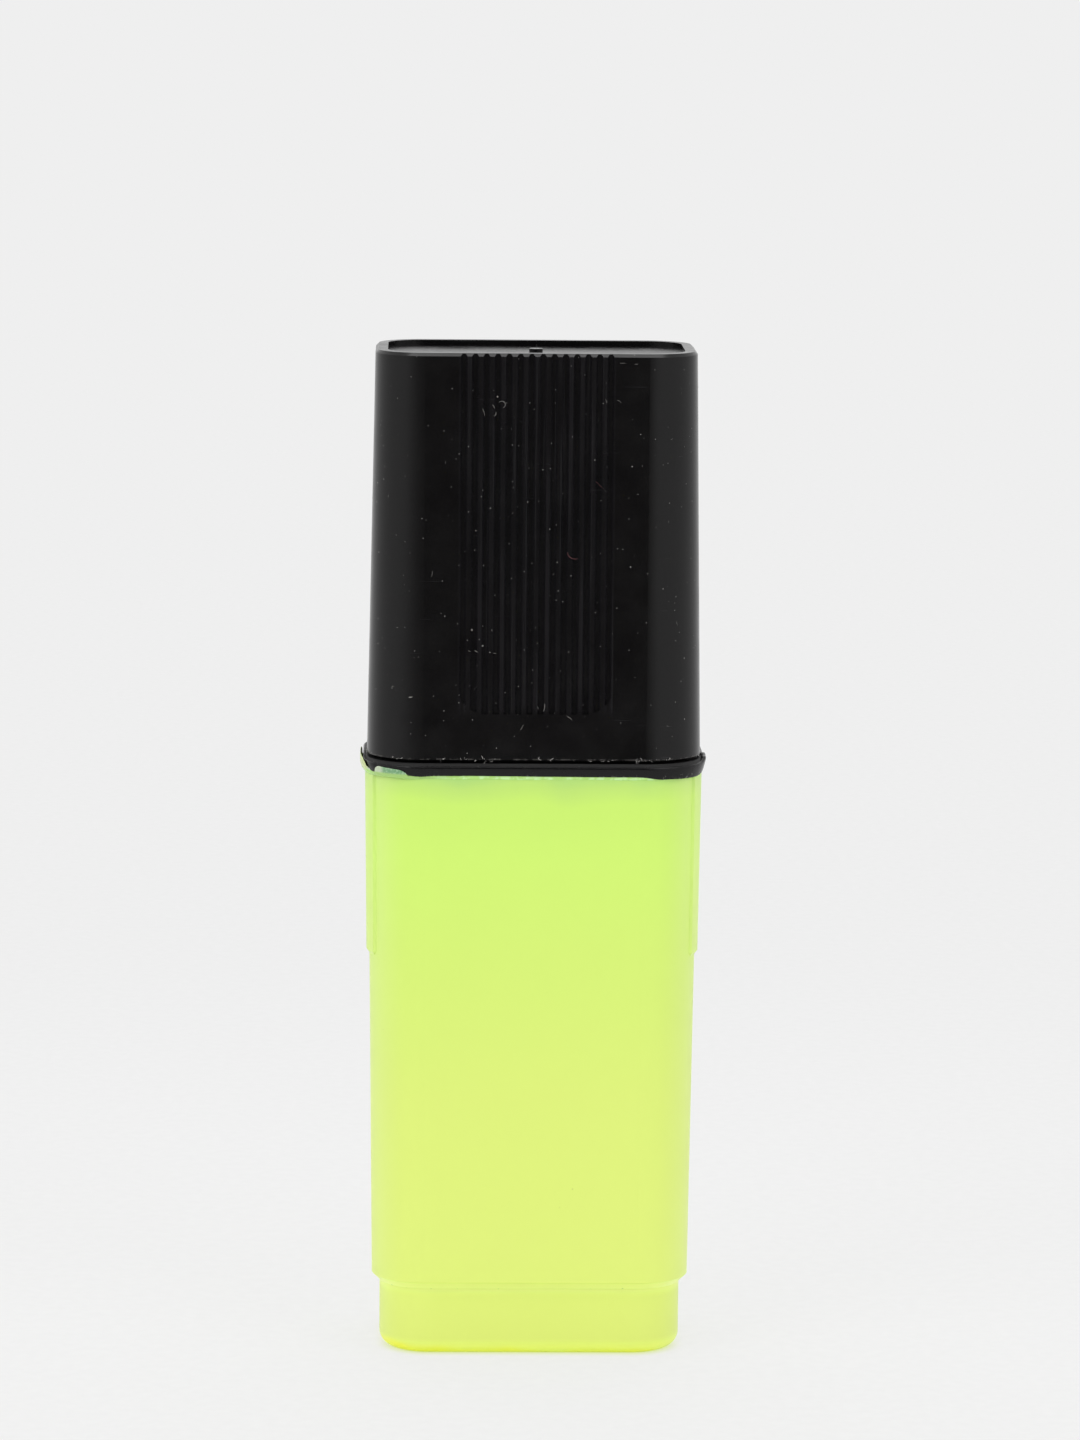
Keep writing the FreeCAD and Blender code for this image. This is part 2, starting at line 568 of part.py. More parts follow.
def make_front_section():
    """Skirt, flange, shoulder, seal land and nose in one moulding, hollow from below."""
    body = new_body("front_section")
    flange = rounded_rectangle(
        body, "flange_outline", BARREL_TOP,
        "(Sizes.body_width + 2 * Sizes.flange_overhang)",
        "(Sizes.body_depth + 2 * Sizes.flange_overhang)",
        "(Sizes.body_corner + Sizes.flange_overhang)")
    flange_pad = pad(body, "flange", flange, "Sizes.flange_thickness")
    edges = level_edges(flange_pad, BARREL_TOP) + level_edges(flange_pad, FLANGE_TOP)
    chamfer(body, "flange_edges", flange_pad, edges, "Sizes.flange_bevel")

    skirt_width = f"({SOCKET_WIDTH} - 2 * Sizes.fit_clearance)"
    skirt_depth = f"({SOCKET_DEPTH} - 2 * Sizes.fit_clearance)"
    skirt_corner = f"({SOCKET_CORNER} - Sizes.fit_clearance)"
    skirt = rounded_rectangle(body, "skirt_outline", BARREL_TOP, skirt_width, skirt_depth,
                              skirt_corner)
    pad(body, "skirt", skirt, "Sizes.skirt_length", downwards=True)

    # The shoulder is upright, as the lower room inside the cap is.
    room = "(Sizes.cap_wall + Sizes.cap_clearance)"
    shoulder = rounded_rectangle(body, "shoulder_outline", FLANGE_TOP,
                                 f"({CAP_WIDTH} - 2 * {room})", f"({CAP_DEPTH} - 2 * {room})",
                                 f"({CAP_CORNER} - {room})")
    shoulder_pad = pad(body, "shoulder", shoulder, "Sizes.shoulder_height")
    chamfer(body, "shoulder_edge", shoulder_pad, level_edges(shoulder_pad, SHOULDER_TOP),
            "Sizes.shoulder_bevel")

    nose = new_sketch(body, "nose_section", XZ, "0")
    add_polygon(nose, [("0", DECK_BOTTOM),
                       (f"{LAND_DIAMETER} / 2", DECK_BOTTOM),
                       (f"{LAND_DIAMETER} / 2", LAND_TOP),
                       ("Sizes.nose_diameter / 2", f"{LAND_TOP} + Sizes.nose_taper"),
                       ("Sizes.nose_diameter / 2", f"{NOSE_TOP} - Sizes.nose_bevel"),
                       ("Sizes.nose_diameter / 2 - Sizes.nose_bevel", NOSE_TOP),
                       ("0", NOSE_TOP)])
    revolve(body, "nose", nose)

    hollow = rounded_rectangle(body, "hollow_outline", SKIRT_BOTTOM,
                               f"({skirt_width} - 2 * Sizes.section_wall)",
                               f"({skirt_depth} - 2 * Sizes.section_wall)",
                               f"({skirt_corner} - Sizes.section_wall)")
    pocket(body, "hollow", hollow, f"{DECK_BOTTOM} - {SKIRT_BOTTOM}", upwards=True)
    core = new_sketch(body, "core_outline", XY, DECK_BOTTOM)
    add_circle(core, "0", "0", AIR_DIAMETER)
    pocket(body, "air_space", core, f"{NOSE_TOP} - Sizes.grip_length - {DECK_BOTTOM}",
           upwards=True)
    bore = rounded_rectangle(body, "nib_bore_outline", NOSE_TOP,
                             "(Sizes.nib_width + 2 * Sizes.fit_clearance)",
                             "(Sizes.nib_depth + 2 * Sizes.fit_clearance)",
                             "(Sizes.nib_corner + Sizes.fit_clearance)")
    pocket(body, "nib_bore", bore, "Sizes.grip_length + Sizes.fit_clearance")
    vent = new_sketch(body, "vent_outline", XY, NOSE_TOP)
    reach = "(Sizes.nib_depth / 2 + Sizes.fit_clearance + Sizes.vent_depth)"
    add_polygon(vent, rectangle_corners("-Sizes.vent_width / 2", "Sizes.vent_width / 2",
                                        f"-{reach}", reach))
    pocket(body, "vent", vent, "Sizes.grip_length + Sizes.fit_clearance")
    return body


def make_nib():
    """A pressed fibre rod, chiselled on top and wedged below."""
    body = new_body("nib")
    outline = rounded_rectangle(body, "nib_outline", NIB_BOTTOM, "Sizes.nib_width",
                                "Sizes.nib_depth", "Sizes.nib_corner")
    pad(body, "rod", outline, f"{NIB_TOP} - {NIB_BOTTOM}")

    # The slant takes the top away from the upper right corner down to the left side.
    slant = new_sketch(body, "slant_section", XZ, "0")
    margin = "Sizes.nib_corner"
    slope = "tan(Sizes.nib_slant)"
    low = f"({NIB_TOP} - (Sizes.nib_width + {margin}) * {slope})"
    high = f"({NIB_TOP} + {margin})"
    over = f"({NIB_TOP} + {margin} * {slope})"
    add_polygon(slant, [(f"-(Sizes.nib_width / 2 + {margin})", low),
                        (f"Sizes.nib_width / 2 + {margin}", over),
                        (f"Sizes.nib_width / 2 + {margin}", high),
                        (f"-(Sizes.nib_width / 2 + {margin})", high)])
    pocket(body, "slant", slant, both_ways=True)

    # The bevels thin the rod's front and back towards the writing edge.
    bevel = new_sketch(body, "bevel_section", YZ, "0")
    cut = "(Sizes.nib_depth / 2 - Sizes.nib_edge / 2)"
    drop = f"(({cut} + {margin}) / tan(Sizes.nib_bevel))"
    add_polygon(bevel, [("Sizes.nib_edge / 2", NIB_TOP),
                        (f"Sizes.nib_edge / 2 + {cut} + {margin}", f"{NIB_TOP} - {drop}"),
                        (f"Sizes.nib_edge / 2 + {cut} + {margin}", NIB_TOP)])
    bevel_cut = pocket(body, "bevel", bevel, both_ways=True)
    tail = new_sketch(body, "tail_section", YZ, "0")
    add_polygon(tail, [("Sizes.nib_tail / 2", NIB_BOTTOM),
                       ("Sizes.nib_depth / 2", f"{NIB_BOTTOM} + Sizes.nib_tail_length"),
                       (f"Sizes.nib_depth / 2 + {margin}", f"{NIB_BOTTOM} + Sizes.nib_tail_length"),
                       (f"Sizes.nib_depth / 2 + {margin}", NIB_BOTTOM)])
    tail_cut = pocket(body, "tail_wedge", tail, both_ways=True)
    mirror(body, "other_side", [bevel_cut, tail_cut], XZ)
    return body


def make_cap_block():
    """The cap's outside, still solid: drafted block, rimmed recess on top and the gate's mark."""
    body = new_body("cap_block")
    mouth = rounded_rectangle(body, "mouth_outline", CAP_MOUTH, CAP_WIDTH, CAP_DEPTH, CAP_CORNER)
    outside = pad(body, "outside", mouth, "Sizes.cap_length", draft="Sizes.cap_draft")
    chamfer(body, "upper_edge", outside, level_edges(outside, CAP_TOP), "Sizes.cap_top_bevel")
    inset = f"({CAP_TAPER} + Sizes.recess_rim)"
    recess = rounded_rectangle(body, "recess_outline", CAP_TOP, f"({CAP_WIDTH} - 2 * {inset})",
                               f"({CAP_DEPTH} - 2 * {inset})", f"({CAP_CORNER} - {inset})")
    pocket(body, "recess", recess, "Sizes.recess_depth")
    gate = new_sketch(body, "gate_outline", XY, f"{CAP_TOP} - Sizes.recess_depth")
    add_circle(gate, "0", "0", "Sizes.gate_diameter")
    pad(body, "gate_mark", gate, "Sizes.gate_height")
    return body


def make_cap_core():
    """The core that leaves the cap's inside, with a ring cut out of it for the collar.

    The lower room takes the shoulder, or the foot when the cap is posted. The upper room is
    narrower, so the cap's wall isn't thinner at its narrow upper end.
    """
    body = new_body("cap_core")
    width = f"({CAP_WIDTH} - 2 * Sizes.cap_wall)"
    depth = f"({CAP_DEPTH} - 2 * Sizes.cap_wall)"
    corner = f"({CAP_CORNER} - Sizes.cap_wall)"
    lower = rounded_rectangle(body, "lower_room_outline", CAP_MOUTH, width, depth, corner)
    pad(body, "lower_room", lower, "Sizes.cap_lower_room")
    upper = rounded_rectangle(body, "upper_room_outline", CAP_MOUTH,
                              f"({width} - 2 * {CORE_TAPER})", UPPER_ROOM_DEPTH,
                              f"({corner} - {CORE_TAPER})")
    pad(body, "upper_room", upper, f"{CAP_CEILING} - {CAP_MOUTH}")
    flare = "(Sizes.cap_lead * tan(Sizes.cap_lead_slant))"
    lead = rounded_rectangle(body, "lead_in_outline", CAP_MOUTH, f"({width} + 2 * {flare})",
                             f"({depth} + 2 * {flare})", f"({corner} + {flare})")
    pad(body, "mouth_lead_in", lead, "Sizes.cap_lead", draft="Sizes.cap_lead_slant")
    collar = new_sketch(body, "collar_outline", XY, CAP_CEILING)
    collar_bore = f"({SEAL_OUTSIDE} + 2 * Sizes.fit_clearance)"
    add_circle(collar, "0", "0", collar_bore)
    add_circle(collar, "0", "0", f"{collar_bore} + 2 * Sizes.collar_wall")
    pocket(body, "collar", collar, "Sizes.collar_length")
    return body


def make_grip_cutter():
    """The comb that sinks the grooves between the ribs, set parallel to the cap's drafted front.

    A plate just outside the face carries one wedge-shaped tooth per groove. Everything outside
    the ribbed field, a rectangle with rounded lower corners, is trimmed away.
    """
    body = new_body("grip_cutter")
    field_width = "((Sizes.rib_count + 1) * Sizes.rib_pitch)"
    field_height = "(Sizes.cap_length - Sizes.grip_start)"
    above = "Sizes.grip_corner"
    length = f"{field_height} + {above} + Sizes.grip_corner"

    def tilted(name):
        """A sketch across the cap's front face, square to it, just above its upper edge."""
        sketch = new_sketch(body, name, XY, f"{CAP_TOP} + {above}")
        sketch.AttachmentOffset = FreeCAD.Placement(
            sketch.AttachmentOffset.Base,
            FreeCAD.Rotation(FreeCAD.Vector(-1, 0, 0), value("Sizes.cap_draft")))
        sketch.setExpression("AttachmentOffset.Rotation.Angle", "Sizes.cap_draft")
        sketch.setExpression("AttachmentOffset.Base.y",
                             f"({above} + Sizes.cap_length) * tan(Sizes.cap_draft)"
                             f" - {CAP_DEPTH} / 2")
        return sketch

    plate = tilted("plate_outline")
    add_polygon(plate, rectangle_corners(f"-{field_width}", field_width,
                                         "-Sizes.rib_pitch", "-Sizes.comb_gap"))
    pad(body, "plate", plate, length, downwards=True)
    tooth = tilted("tooth_outline")
    middle = "Sizes.rib_count * Sizes.rib_pitch / 2"
    root = "-2 * Sizes.comb_gap"
    flare = "(Sizes.groove_mouth - Sizes.groove_floor) / Sizes.groove_depth * Sizes.comb_gap"
    half_root = f"(Sizes.groove_mouth / 2 + {flare})"
    half_tip = "Sizes.groove_floor / 2"
    add_polygon(tooth, [(f"-{middle} - {half_root}", root),
                        (f"-{middle} + {half_root}", root),
                        (f"-{middle} + {half_tip}", "Sizes.groove_depth"),
                        (f"-{middle} - {half_tip}", "Sizes.groove_depth")])
    tooth_pad = pad(body, "tooth", tooth, length, downwards=True)
    comb = body.newObject("PartDesign::LinearPattern", "comb")
    comb.Originals = [tooth_pad]
    comb.Direction = (tooth, ["H_Axis"])
    comb.setExpression("Length", "Sizes.rib_count * Sizes.rib_pitch")
    comb.setExpression("Occurrences", "Sizes.rib_count + 1")
    body.Tip = comb
    document.recompute()

    trim = new_sketch(body, "field_outline", XZ, "0")
    trim.setExpression("AttachmentOffset.Base.y",
                       f"{CAP_TOP} + {above} - ({field_height} + {above}) / 2")
    add_rounded_loop(trim, field_width, f"({field_height} + {above})", "Sizes.grip_corner")
    beyond = "2 * Sizes.cap_length"
    add_rounded_loop(trim, f"({field_width} + {beyond})", f"({field_height} + {beyond})",
                     "Sizes.grip_corner")
    pocket(body, "field", trim, both_ways=True)
    return body


def make_cap():
    """The finished cap: the block less its core and less the comb's grooves, front and back."""
    finished = make_cap_block()
    core = make_cap_core()
    front = make_grip_cutter()
    back = document.addObject("Part::Mirroring", "grip_cutter_back")
    back.Source = front
    back.Normal = FreeCAD.Vector(0, 1, 0)
    for name, tool in (("cap_hollow", core), ("cap_with_front_grip", front), ("cap", back)):
        cut = document.addObject("Part::Cut", name)
        cut.Base = finished
        cut.Tool = tool
        cut.Label = name
        document.recompute()
        finished = cut
    return finished


def make_inner_cap():
    """The soft cup inside the cap that closes on the seal land and keeps the nib moist."""
    body = new_body("inner_cap")
    section = new_sketch(body, "cup_section", XZ, "0")
    bore = f"{SEAL_BORE} / 2"
    outside = f"{SEAL_OUTSIDE} / 2"
    add_polygon(section, [("0", CAP_CEILING),
                          ("0", f"{CAP_CEILING} - Sizes.seal_end"),
                          (bore, f"{CAP_CEILING} - Sizes.seal_end"),
                          (bore, f"{SEAL_MOUTH} + Sizes.seal_lead"),
                          (f"{bore} + Sizes.seal_lead", SEAL_MOUTH),
                          (outside, SEAL_MOUTH),
                          (outside, CAP_CEILING)])
    revolve(body, "cup", section)
    return body


def check_everything(pieces):
    """Stops when any object failed to compute or any piece isn't one valid solid."""
    for item in document.Objects:
        failed = [state for state in item.State if state in ("Invalid", "Error")]
        if failed:
            raise RuntimeError(f"{item.Label} is {failed}")
        cuts = item.TypeId == "PartDesign::Pocket"
        if cuts and item.Shape.Volume > item.BaseFeature.Shape.Volume - TINY:
            raise RuntimeError(f"{item.Label} cuts nothing")
    for piece in pieces:
        shape = piece.Shape
        if shape.isNull() or not shape.isValid() or len(shape.Solids) != 1:
            raise RuntimeError(f"{piece.Label} isn't one valid solid")


PIECES = [
    make_end_plug(),
    make_barrel(),
    make_reservoir_core(),
    make_reservoir_film(),
    make_front_section(),
    make_nib(),
    make_cap(),
    make_inner_cap(),
]
document.recompute()
check_everything(PIECES)

os.makedirs("parts", exist_ok=True)
for piece in PIECES:
    piece.Shape.exportStep(f"parts/{piece.Label}.step")
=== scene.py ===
import math
import bmesh
import bpy
import numpy as np
from mathutils import Matrix, Vector


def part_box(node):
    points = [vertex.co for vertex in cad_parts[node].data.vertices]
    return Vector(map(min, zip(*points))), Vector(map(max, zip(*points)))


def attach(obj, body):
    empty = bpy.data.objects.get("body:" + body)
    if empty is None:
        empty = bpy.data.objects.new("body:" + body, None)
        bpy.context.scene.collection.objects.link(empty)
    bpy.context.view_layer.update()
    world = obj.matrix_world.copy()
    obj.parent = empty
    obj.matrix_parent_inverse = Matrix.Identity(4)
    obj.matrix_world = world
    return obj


# A flat-bodied highlighter standing on its foot: black ribbed cap, black welded collar and a
# fluorescent yellow-green barrel and foot. Lengths are written in millimetres and turned to metres.

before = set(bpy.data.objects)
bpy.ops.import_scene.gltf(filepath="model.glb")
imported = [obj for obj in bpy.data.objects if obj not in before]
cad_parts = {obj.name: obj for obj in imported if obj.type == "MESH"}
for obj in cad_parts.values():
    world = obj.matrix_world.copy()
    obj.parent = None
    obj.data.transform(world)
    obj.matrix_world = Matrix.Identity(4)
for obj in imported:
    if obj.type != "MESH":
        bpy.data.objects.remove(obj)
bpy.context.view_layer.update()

MM = 0.001
SEED = 7

# ---------------------------------------------------------------- sizes of the fixed model
# In metres. Corners, the gap and the draft are those that the fixed model was made with.
BARREL_LOW, BARREL_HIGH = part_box("barrel")
CAP_LOW, CAP_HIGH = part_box("cap")
SECTION_LOW, SECTION_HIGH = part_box("front_section")
FOOT_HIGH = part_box("end_plug")[1]
NIB_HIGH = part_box("nib")[1]
CAP_GAP = 0.3 * MM
FLANGE_BOTTOM = BARREL_HIGH[2]
FLANGE_TOP = CAP_LOW[2] - CAP_GAP
FLANGE_WIDTH = SECTION_HIGH[0] - SECTION_LOW[0]
FLANGE_DEPTH = SECTION_HIGH[1] - SECTION_LOW[1]
FLANGE_CORNER = 4.87 * MM
CAP_WIDTH, CAP_DEPTH = (CAP_HIGH - CAP_LOW)[:2]
CAP_CORNER = 4.55 * MM
CAP_DRAFT = 1.0              # degrees
CAP_SLOPE = math.tan(math.radians(CAP_DRAFT))
FOOT_CORNER = 4.0 * MM
# In millimetres, for the materials.
RIB_PITCH = 0.9
GRIP_START = 3.7             # above the cap's mouth
GRIP_HALF_WIDTH = 6.2

# ---------------------------------------------------------------- camera
SENSOR_HEIGHT = 24           # millimetres
LENS = 92.666667             # millimetres
CAMERA_AZIMUTH = -1.3        # degrees, 0 looks along +Y
CAMERA_PITCH = 8.3           # degrees below level
CAMERA_ROLL = 0.48           # degrees
CAMERA_DISTANCE = 449 * MM   # level distance from the upright axis
CAMERA_HEIGHT = 117 * MM
CAMERA_OFFSET = 0.58 * MM    # sideways from the upright axis


def make_camera():
    """A long lens a little above the cap's top, looking slightly down at the front."""
    data = bpy.data.cameras.new("camera")
    data.sensor_fit = "VERTICAL"
    data.sensor_height = SENSOR_HEIGHT
    data.lens = LENS
    camera = bpy.data.objects.new("camera", data)
    bpy.context.scene.collection.objects.link(camera)
    turn = Matrix.Rotation(math.radians(CAMERA_AZIMUTH), 4, "Z")
    tilt = Matrix.Rotation(math.radians(90 - CAMERA_PITCH), 4, "X")
    roll = Matrix.Rotation(math.radians(CAMERA_ROLL), 4, "Z")
    place = turn @ Vector((CAMERA_OFFSET, -CAMERA_DISTANCE, CAMERA_HEIGHT))
    camera.matrix_world = Matrix.Translation(place) @ turn @ tilt @ roll
    bpy.context.scene.camera = camera


# ---------------------------------------------------------------- nodes
def linear(code):
    """An sRGB hex code as linear red, green, blue and a full alpha."""
    parts = [int(code[i:i + 2], 16) / 255 for i in (0, 2, 4)]
    return (*[p / 12.92 if p <= 0.04045 else ((p + 0.055) / 1.055) ** 2.4 for p in parts], 1.0)


def add(tree, kind, inputs=None, **settings):
    """Adds a node with its settings, and gives each input a value or another node's output."""
    made = tree.nodes.new(kind)
    for name, setting in settings.items():
        setattr(made, name, setting)
    for name, given in (inputs or {}).items():
        if isinstance(given, bpy.types.NodeSocket):
            tree.links.new(given, made.inputs[name])
        else:
            made.inputs[name].default_value = given
    return made


def new_material(name):
    """An empty material and its node tree."""
    material = bpy.data.materials.new(name)
    material.use_nodes = True
    material.node_tree.nodes.clear()
    return material, material.node_tree


def fill_ramp(ramp, stops):
    """Sets a colour ramp's stops from pairs of a place from 0 to 1 and an sRGB hex code."""
    elements = ramp.color_ramp.elements
    while len(elements) < len(stops):
        elements.new(0.5)
    for element, (place, code) in zip(elements, stops):
        element.position = place
        element.color = linear(code)


def mask(tree, *factors):
    """The product of factors, each an output, a number, or a value with two places.

    A value with two places counts as a smooth rise from 0 at the first place to 1 at the second.
    """
    product = None
    for factor in factors:
        if isinstance(factor, tuple):
            value, start, end = factor
            factor = add(tree, "ShaderNodeMapRange", {"Value": value, "From Min": start,
                                                      "From Max": end},
                         interpolation_type="SMOOTHSTEP").outputs[0]
        if product is not None:
            factor = add(tree, "ShaderNodeMath", {0: product, 1: factor},
                         operation="MULTIPLY").outputs[0]
        product = factor
    return product


def layered(tree, ground, *layers):
    """A colour with others laid over it in turn, each by a share from 0 to 1."""
    for share, colour in layers:
        ground = add(tree, "ShaderNodeMix", {0: share, 6: ground, 7: colour},
                     data_type="RGBA").outputs[2]
    return ground


# ---------------------------------------------------------------- studio
BACKDROP = linear("efefef")
ROOM_LIGHT = 0.48
SWEEP_REACH = 6.0            # metres
LAMP_AIM = Vector((0, 0, 45 * MM))
# Each soft box: where it hangs and its side in metres, and its power in watts.
SOFT_BOXES = (("soft_box_left", (-1.1, -1.0, 1.2), 1.0, 10),
              ("soft_box_right", (1.1, -1.0, 1.2), 1.0, 8),
              ("soft_box_top", (0, 0.35, 1.6), 1.1, 14))
SHADOW_SHARE = 0.13
SHADOW_NEAR, SHADOW_FAR = 40 * MM, 190 * MM
FLAG_NEAR, FLAG_AWAY = -230 * MM, -560 * MM
FLAG_WIDE, FLAG_HIGH, FLAG_LOW = 520 * MM, 900 * MM, 1 * MM
# The cloth's edges along X, and how far in from each it goes from clear to full.
CLOTH_LEFT, CLOTH_LEFT_SOFT = -500 * MM, 500 * MM
CLOTH_RIGHT, CLOTH_RIGHT_SOFT = 190 * MM, 140 * MM


def seen_directly(tree):
    """A factor of 1 for rays from the camera, off gloss and through clear film, otherwise 0."""
    path = add(tree, "ShaderNodeLightPath")
    either = add(tree, "ShaderNodeMath", {0: path.outputs["Is Camera Ray"],
                                          1: path.outputs["Is Glossy Ray"]}, operation="MAXIMUM")
    return add(tree, "ShaderNodeMath", {0: either.outputs[0],
                                        1: path.outputs["Is Transmission Ray"]},
               operation="MAXIMUM").outputs[0]


def make_world():
    """A pale room: the backdrop's colour where it is seen, an even soft light elsewhere."""
    world = bpy.data.worlds.new("studio")
    world.use_nodes = True
    tree = world.node_tree
    tree.nodes.clear()
    room = add(tree, "ShaderNodeBackground", {"Color": linear("ffffff"), "Strength": ROOM_LIGHT})
    seen = add(tree, "ShaderNodeBackground", {"Color": BACKDROP, "Strength": 1.0})
    mix = add(tree, "ShaderNodeMixShader", {0: seen_directly(tree), 1: room.outputs[0],
                                            2: seen.outputs[0]})
    add(tree, "ShaderNodeOutputWorld", {"Surface": mix.outputs[0]})
    bpy.context.scene.world = world


def background_paper():
    """Seamless matt background paper, lit so evenly that only a trace of the shadow is left.

    The trace is seen round the foot, and fades out between two distances from it. Within 2 mm of
    the foot the paper is yellow with the light that the fluorescent plastic throws on it.
    """
    material, tree = new_material("background_paper")
    place = add(tree, "ShaderNodeTexCoord").outputs["Object"]
    pulp = add(tree, "ShaderNodeTexNoise", {"Vector": place, "Scale": 900.0, "Detail": 2.0})
    tone = add(tree, "ShaderNodeValToRGB", {"Fac": pulp.outputs["Fac"]})
    fill_ramp(tone, [(0.3, "eeeeee"), (0.7, "f0f0f0")])
    # Distance from the foot's outline, a rounded rectangle: beyond the middles of its corners,
    # less the corners' radius.
    middles = (FOOT_HIGH[0] - FOOT_CORNER, FOOT_HIGH[1] - FOOT_CORNER, 0.0)
    across = add(tree, "ShaderNodeVectorMath", {0: place}, operation="ABSOLUTE")
    beyond = add(tree, "ShaderNodeVectorMath", {0: across.outputs[0], 1: middles},
                 operation="SUBTRACT")
    outside = add(tree, "ShaderNodeVectorMath", {0: beyond.outputs[0], 1: (0.0, 0.0, 0.0)},
                  operation="MAXIMUM")
    distance = add(tree, "ShaderNodeVectorMath", {0: outside.outputs[0]},
                   operation="LENGTH").outputs["Value"]
    close = mask(tree, (distance, FOOT_CORNER + 0.9 * MM, FOOT_CORNER - 1.6 * MM))
    colour = layered(tree, tone.outputs["Color"],
                     (mask(tree, close, close, 0.85), linear("dbec54")))
    paper = add(tree, "ShaderNodeBsdfDiffuse", {"Color": colour})
    lit = add(tree, "ShaderNodeEmission", {"Color": colour, "Strength": 1.0})
    reach = add(tree, "ShaderNodeVectorMath", {0: place}, operation="LENGTH").outputs["Value"]
    trace = mask(tree, (reach, SHADOW_FAR, SHADOW_NEAR), SHADOW_SHARE)
    evened = add(tree, "ShaderNodeMath", {0: 1.0, 1: trace}, operation="SUBTRACT")
    share = mask(tree, seen_directly(tree), evened.outputs[0])
    mix = add(tree, "ShaderNodeMixShader", {0: share, 1: paper.outputs[0], 2: lit.outputs[0]})
    add(tree, "ShaderNodeOutputMaterial", {"Surface": mix.outputs[0]})
    return material


def make_sheet(name, corners, material):
    """A flat four-cornered sheet of the studio, which isn't part of the object."""
    mesh = bpy.data.meshes.new(name)
    mesh.from_pydata(corners, [], [(0, 1, 2, 3)])
    mesh.materials.append(material)
    sheet = bpy.data.objects.new(name, mesh)
    bpy.context.scene.collection.objects.link(sheet)
    return sheet


def black_flag_cloth():
    """Matt black flag that only gloss shows, with soft edges, as cloth that hangs out of focus."""
    material, tree = new_material("black_flag_cloth")
    coordinates = add(tree, "ShaderNodeTexCoord")
    place = add(tree, "ShaderNodeSeparateXYZ", {0: coordinates.outputs["Object"]})
    left = add(tree, "ShaderNodeMapRange", {"Value": place.outputs["X"], "From Min": CLOTH_LEFT,
                                            "From Max": CLOTH_LEFT + CLOTH_LEFT_SOFT})
    cover = mask(tree, left.outputs[0],
                 (place.outputs["X"], CLOTH_RIGHT, CLOTH_RIGHT - CLOTH_RIGHT_SOFT))
    clear = add(tree, "ShaderNodeBsdfTransparent")
    cloth = add(tree, "ShaderNodeEmission", {"Color": linear("404040"), "Strength": 1.0})
    mix = add(tree, "ShaderNodeMixShader", {0: cover, 1: clear.outputs[0], 2: cloth.outputs[0]})
    add(tree, "ShaderNodeOutputMaterial", {"Surface": mix.outputs[0]})
    return material


def make_lamp(name, place, size, power):
    """A square soft box that faces the middle of the object."""
    data = bpy.data.lights.new(name, "AREA")
    data.size = size
    data.energy = power
    lamp = bpy.data.objects.new(name, data)
    lamp.location = place
    lamp.rotation_euler = (LAMP_AIM - Vector(place)).to_track_quat("-Z", "Y").to_euler()
    bpy.context.scene.collection.objects.link(lamp)


def make_studio():
    """Pale paper under a soft room, three soft boxes and a black flag in front for the gloss."""
    far = SWEEP_REACH
    make_sheet("sweep", [(-far, -far, 0), (far, -far, 0), (far, far, 0), (-far, far, 0)],
               background_paper())
    make_world()
    for soft_box in SOFT_BOXES:
        make_lamp(*soft_box)
    cloth = black_flag_cloth()
    for name, corners in (
            ("black_flag", [(-FLAG_WIDE, FLAG_AWAY, FLAG_LOW), (FLAG_WIDE, FLAG_AWAY, FLAG_LOW),
                            (FLAG_WIDE, FLAG_AWAY, FLAG_HIGH),
                            (-FLAG_WIDE, FLAG_AWAY, FLAG_HIGH)]),
            ("black_flag_foot", [(-FLAG_WIDE, FLAG_NEAR, FLAG_LOW),
                                 (-FLAG_WIDE, FLAG_AWAY, FLAG_LOW),
                                 (FLAG_WIDE, FLAG_AWAY, FLAG_LOW),
                                 (FLAG_WIDE, FLAG_NEAR, FLAG_LOW)])):
        flag = make_sheet(name, corners, cloth)
        flag.visible_camera = False
        flag.visible_diffuse = False
        flag.visible_transmission = False
        flag.visible_volume_scatter = False
        flag.visible_shadow = False


# ---------------------------------------------------------------- materials
def object_place(tree):
    """Object coordinates in millimetres."""
    coordinates = add(tree, "ShaderNodeTexCoord").outputs["Object"]
    return add(tree, "ShaderNodeVectorMath", {0: coordinates, 1: (1 / MM,) * 3},
               operation="MULTIPLY").outputs[0]


def dust(tree, millimetres, spacing, radius):
    """1 inside small round grains scattered over the surface, 0 between them.

    Each grain is a ball round one point per cell of a Voronoi pattern, so grains of all sizes up
    to the radius show where the surface cuts the balls. Each cell's own chance number fades it.
    """
    grains = add(tree, "ShaderNodeTexVoronoi", {"Vector": millimetres, "Scale": 1 / spacing,
                                                "Randomness": 1.0})
    chance = add(tree, "ShaderNodeSeparateColor", {"Color": grains.outputs["Color"]}).outputs[0]
    return mask(tree, chance, (grains.outputs["Distance"], radius / spacing,
                               0.6 * radius / spacing))


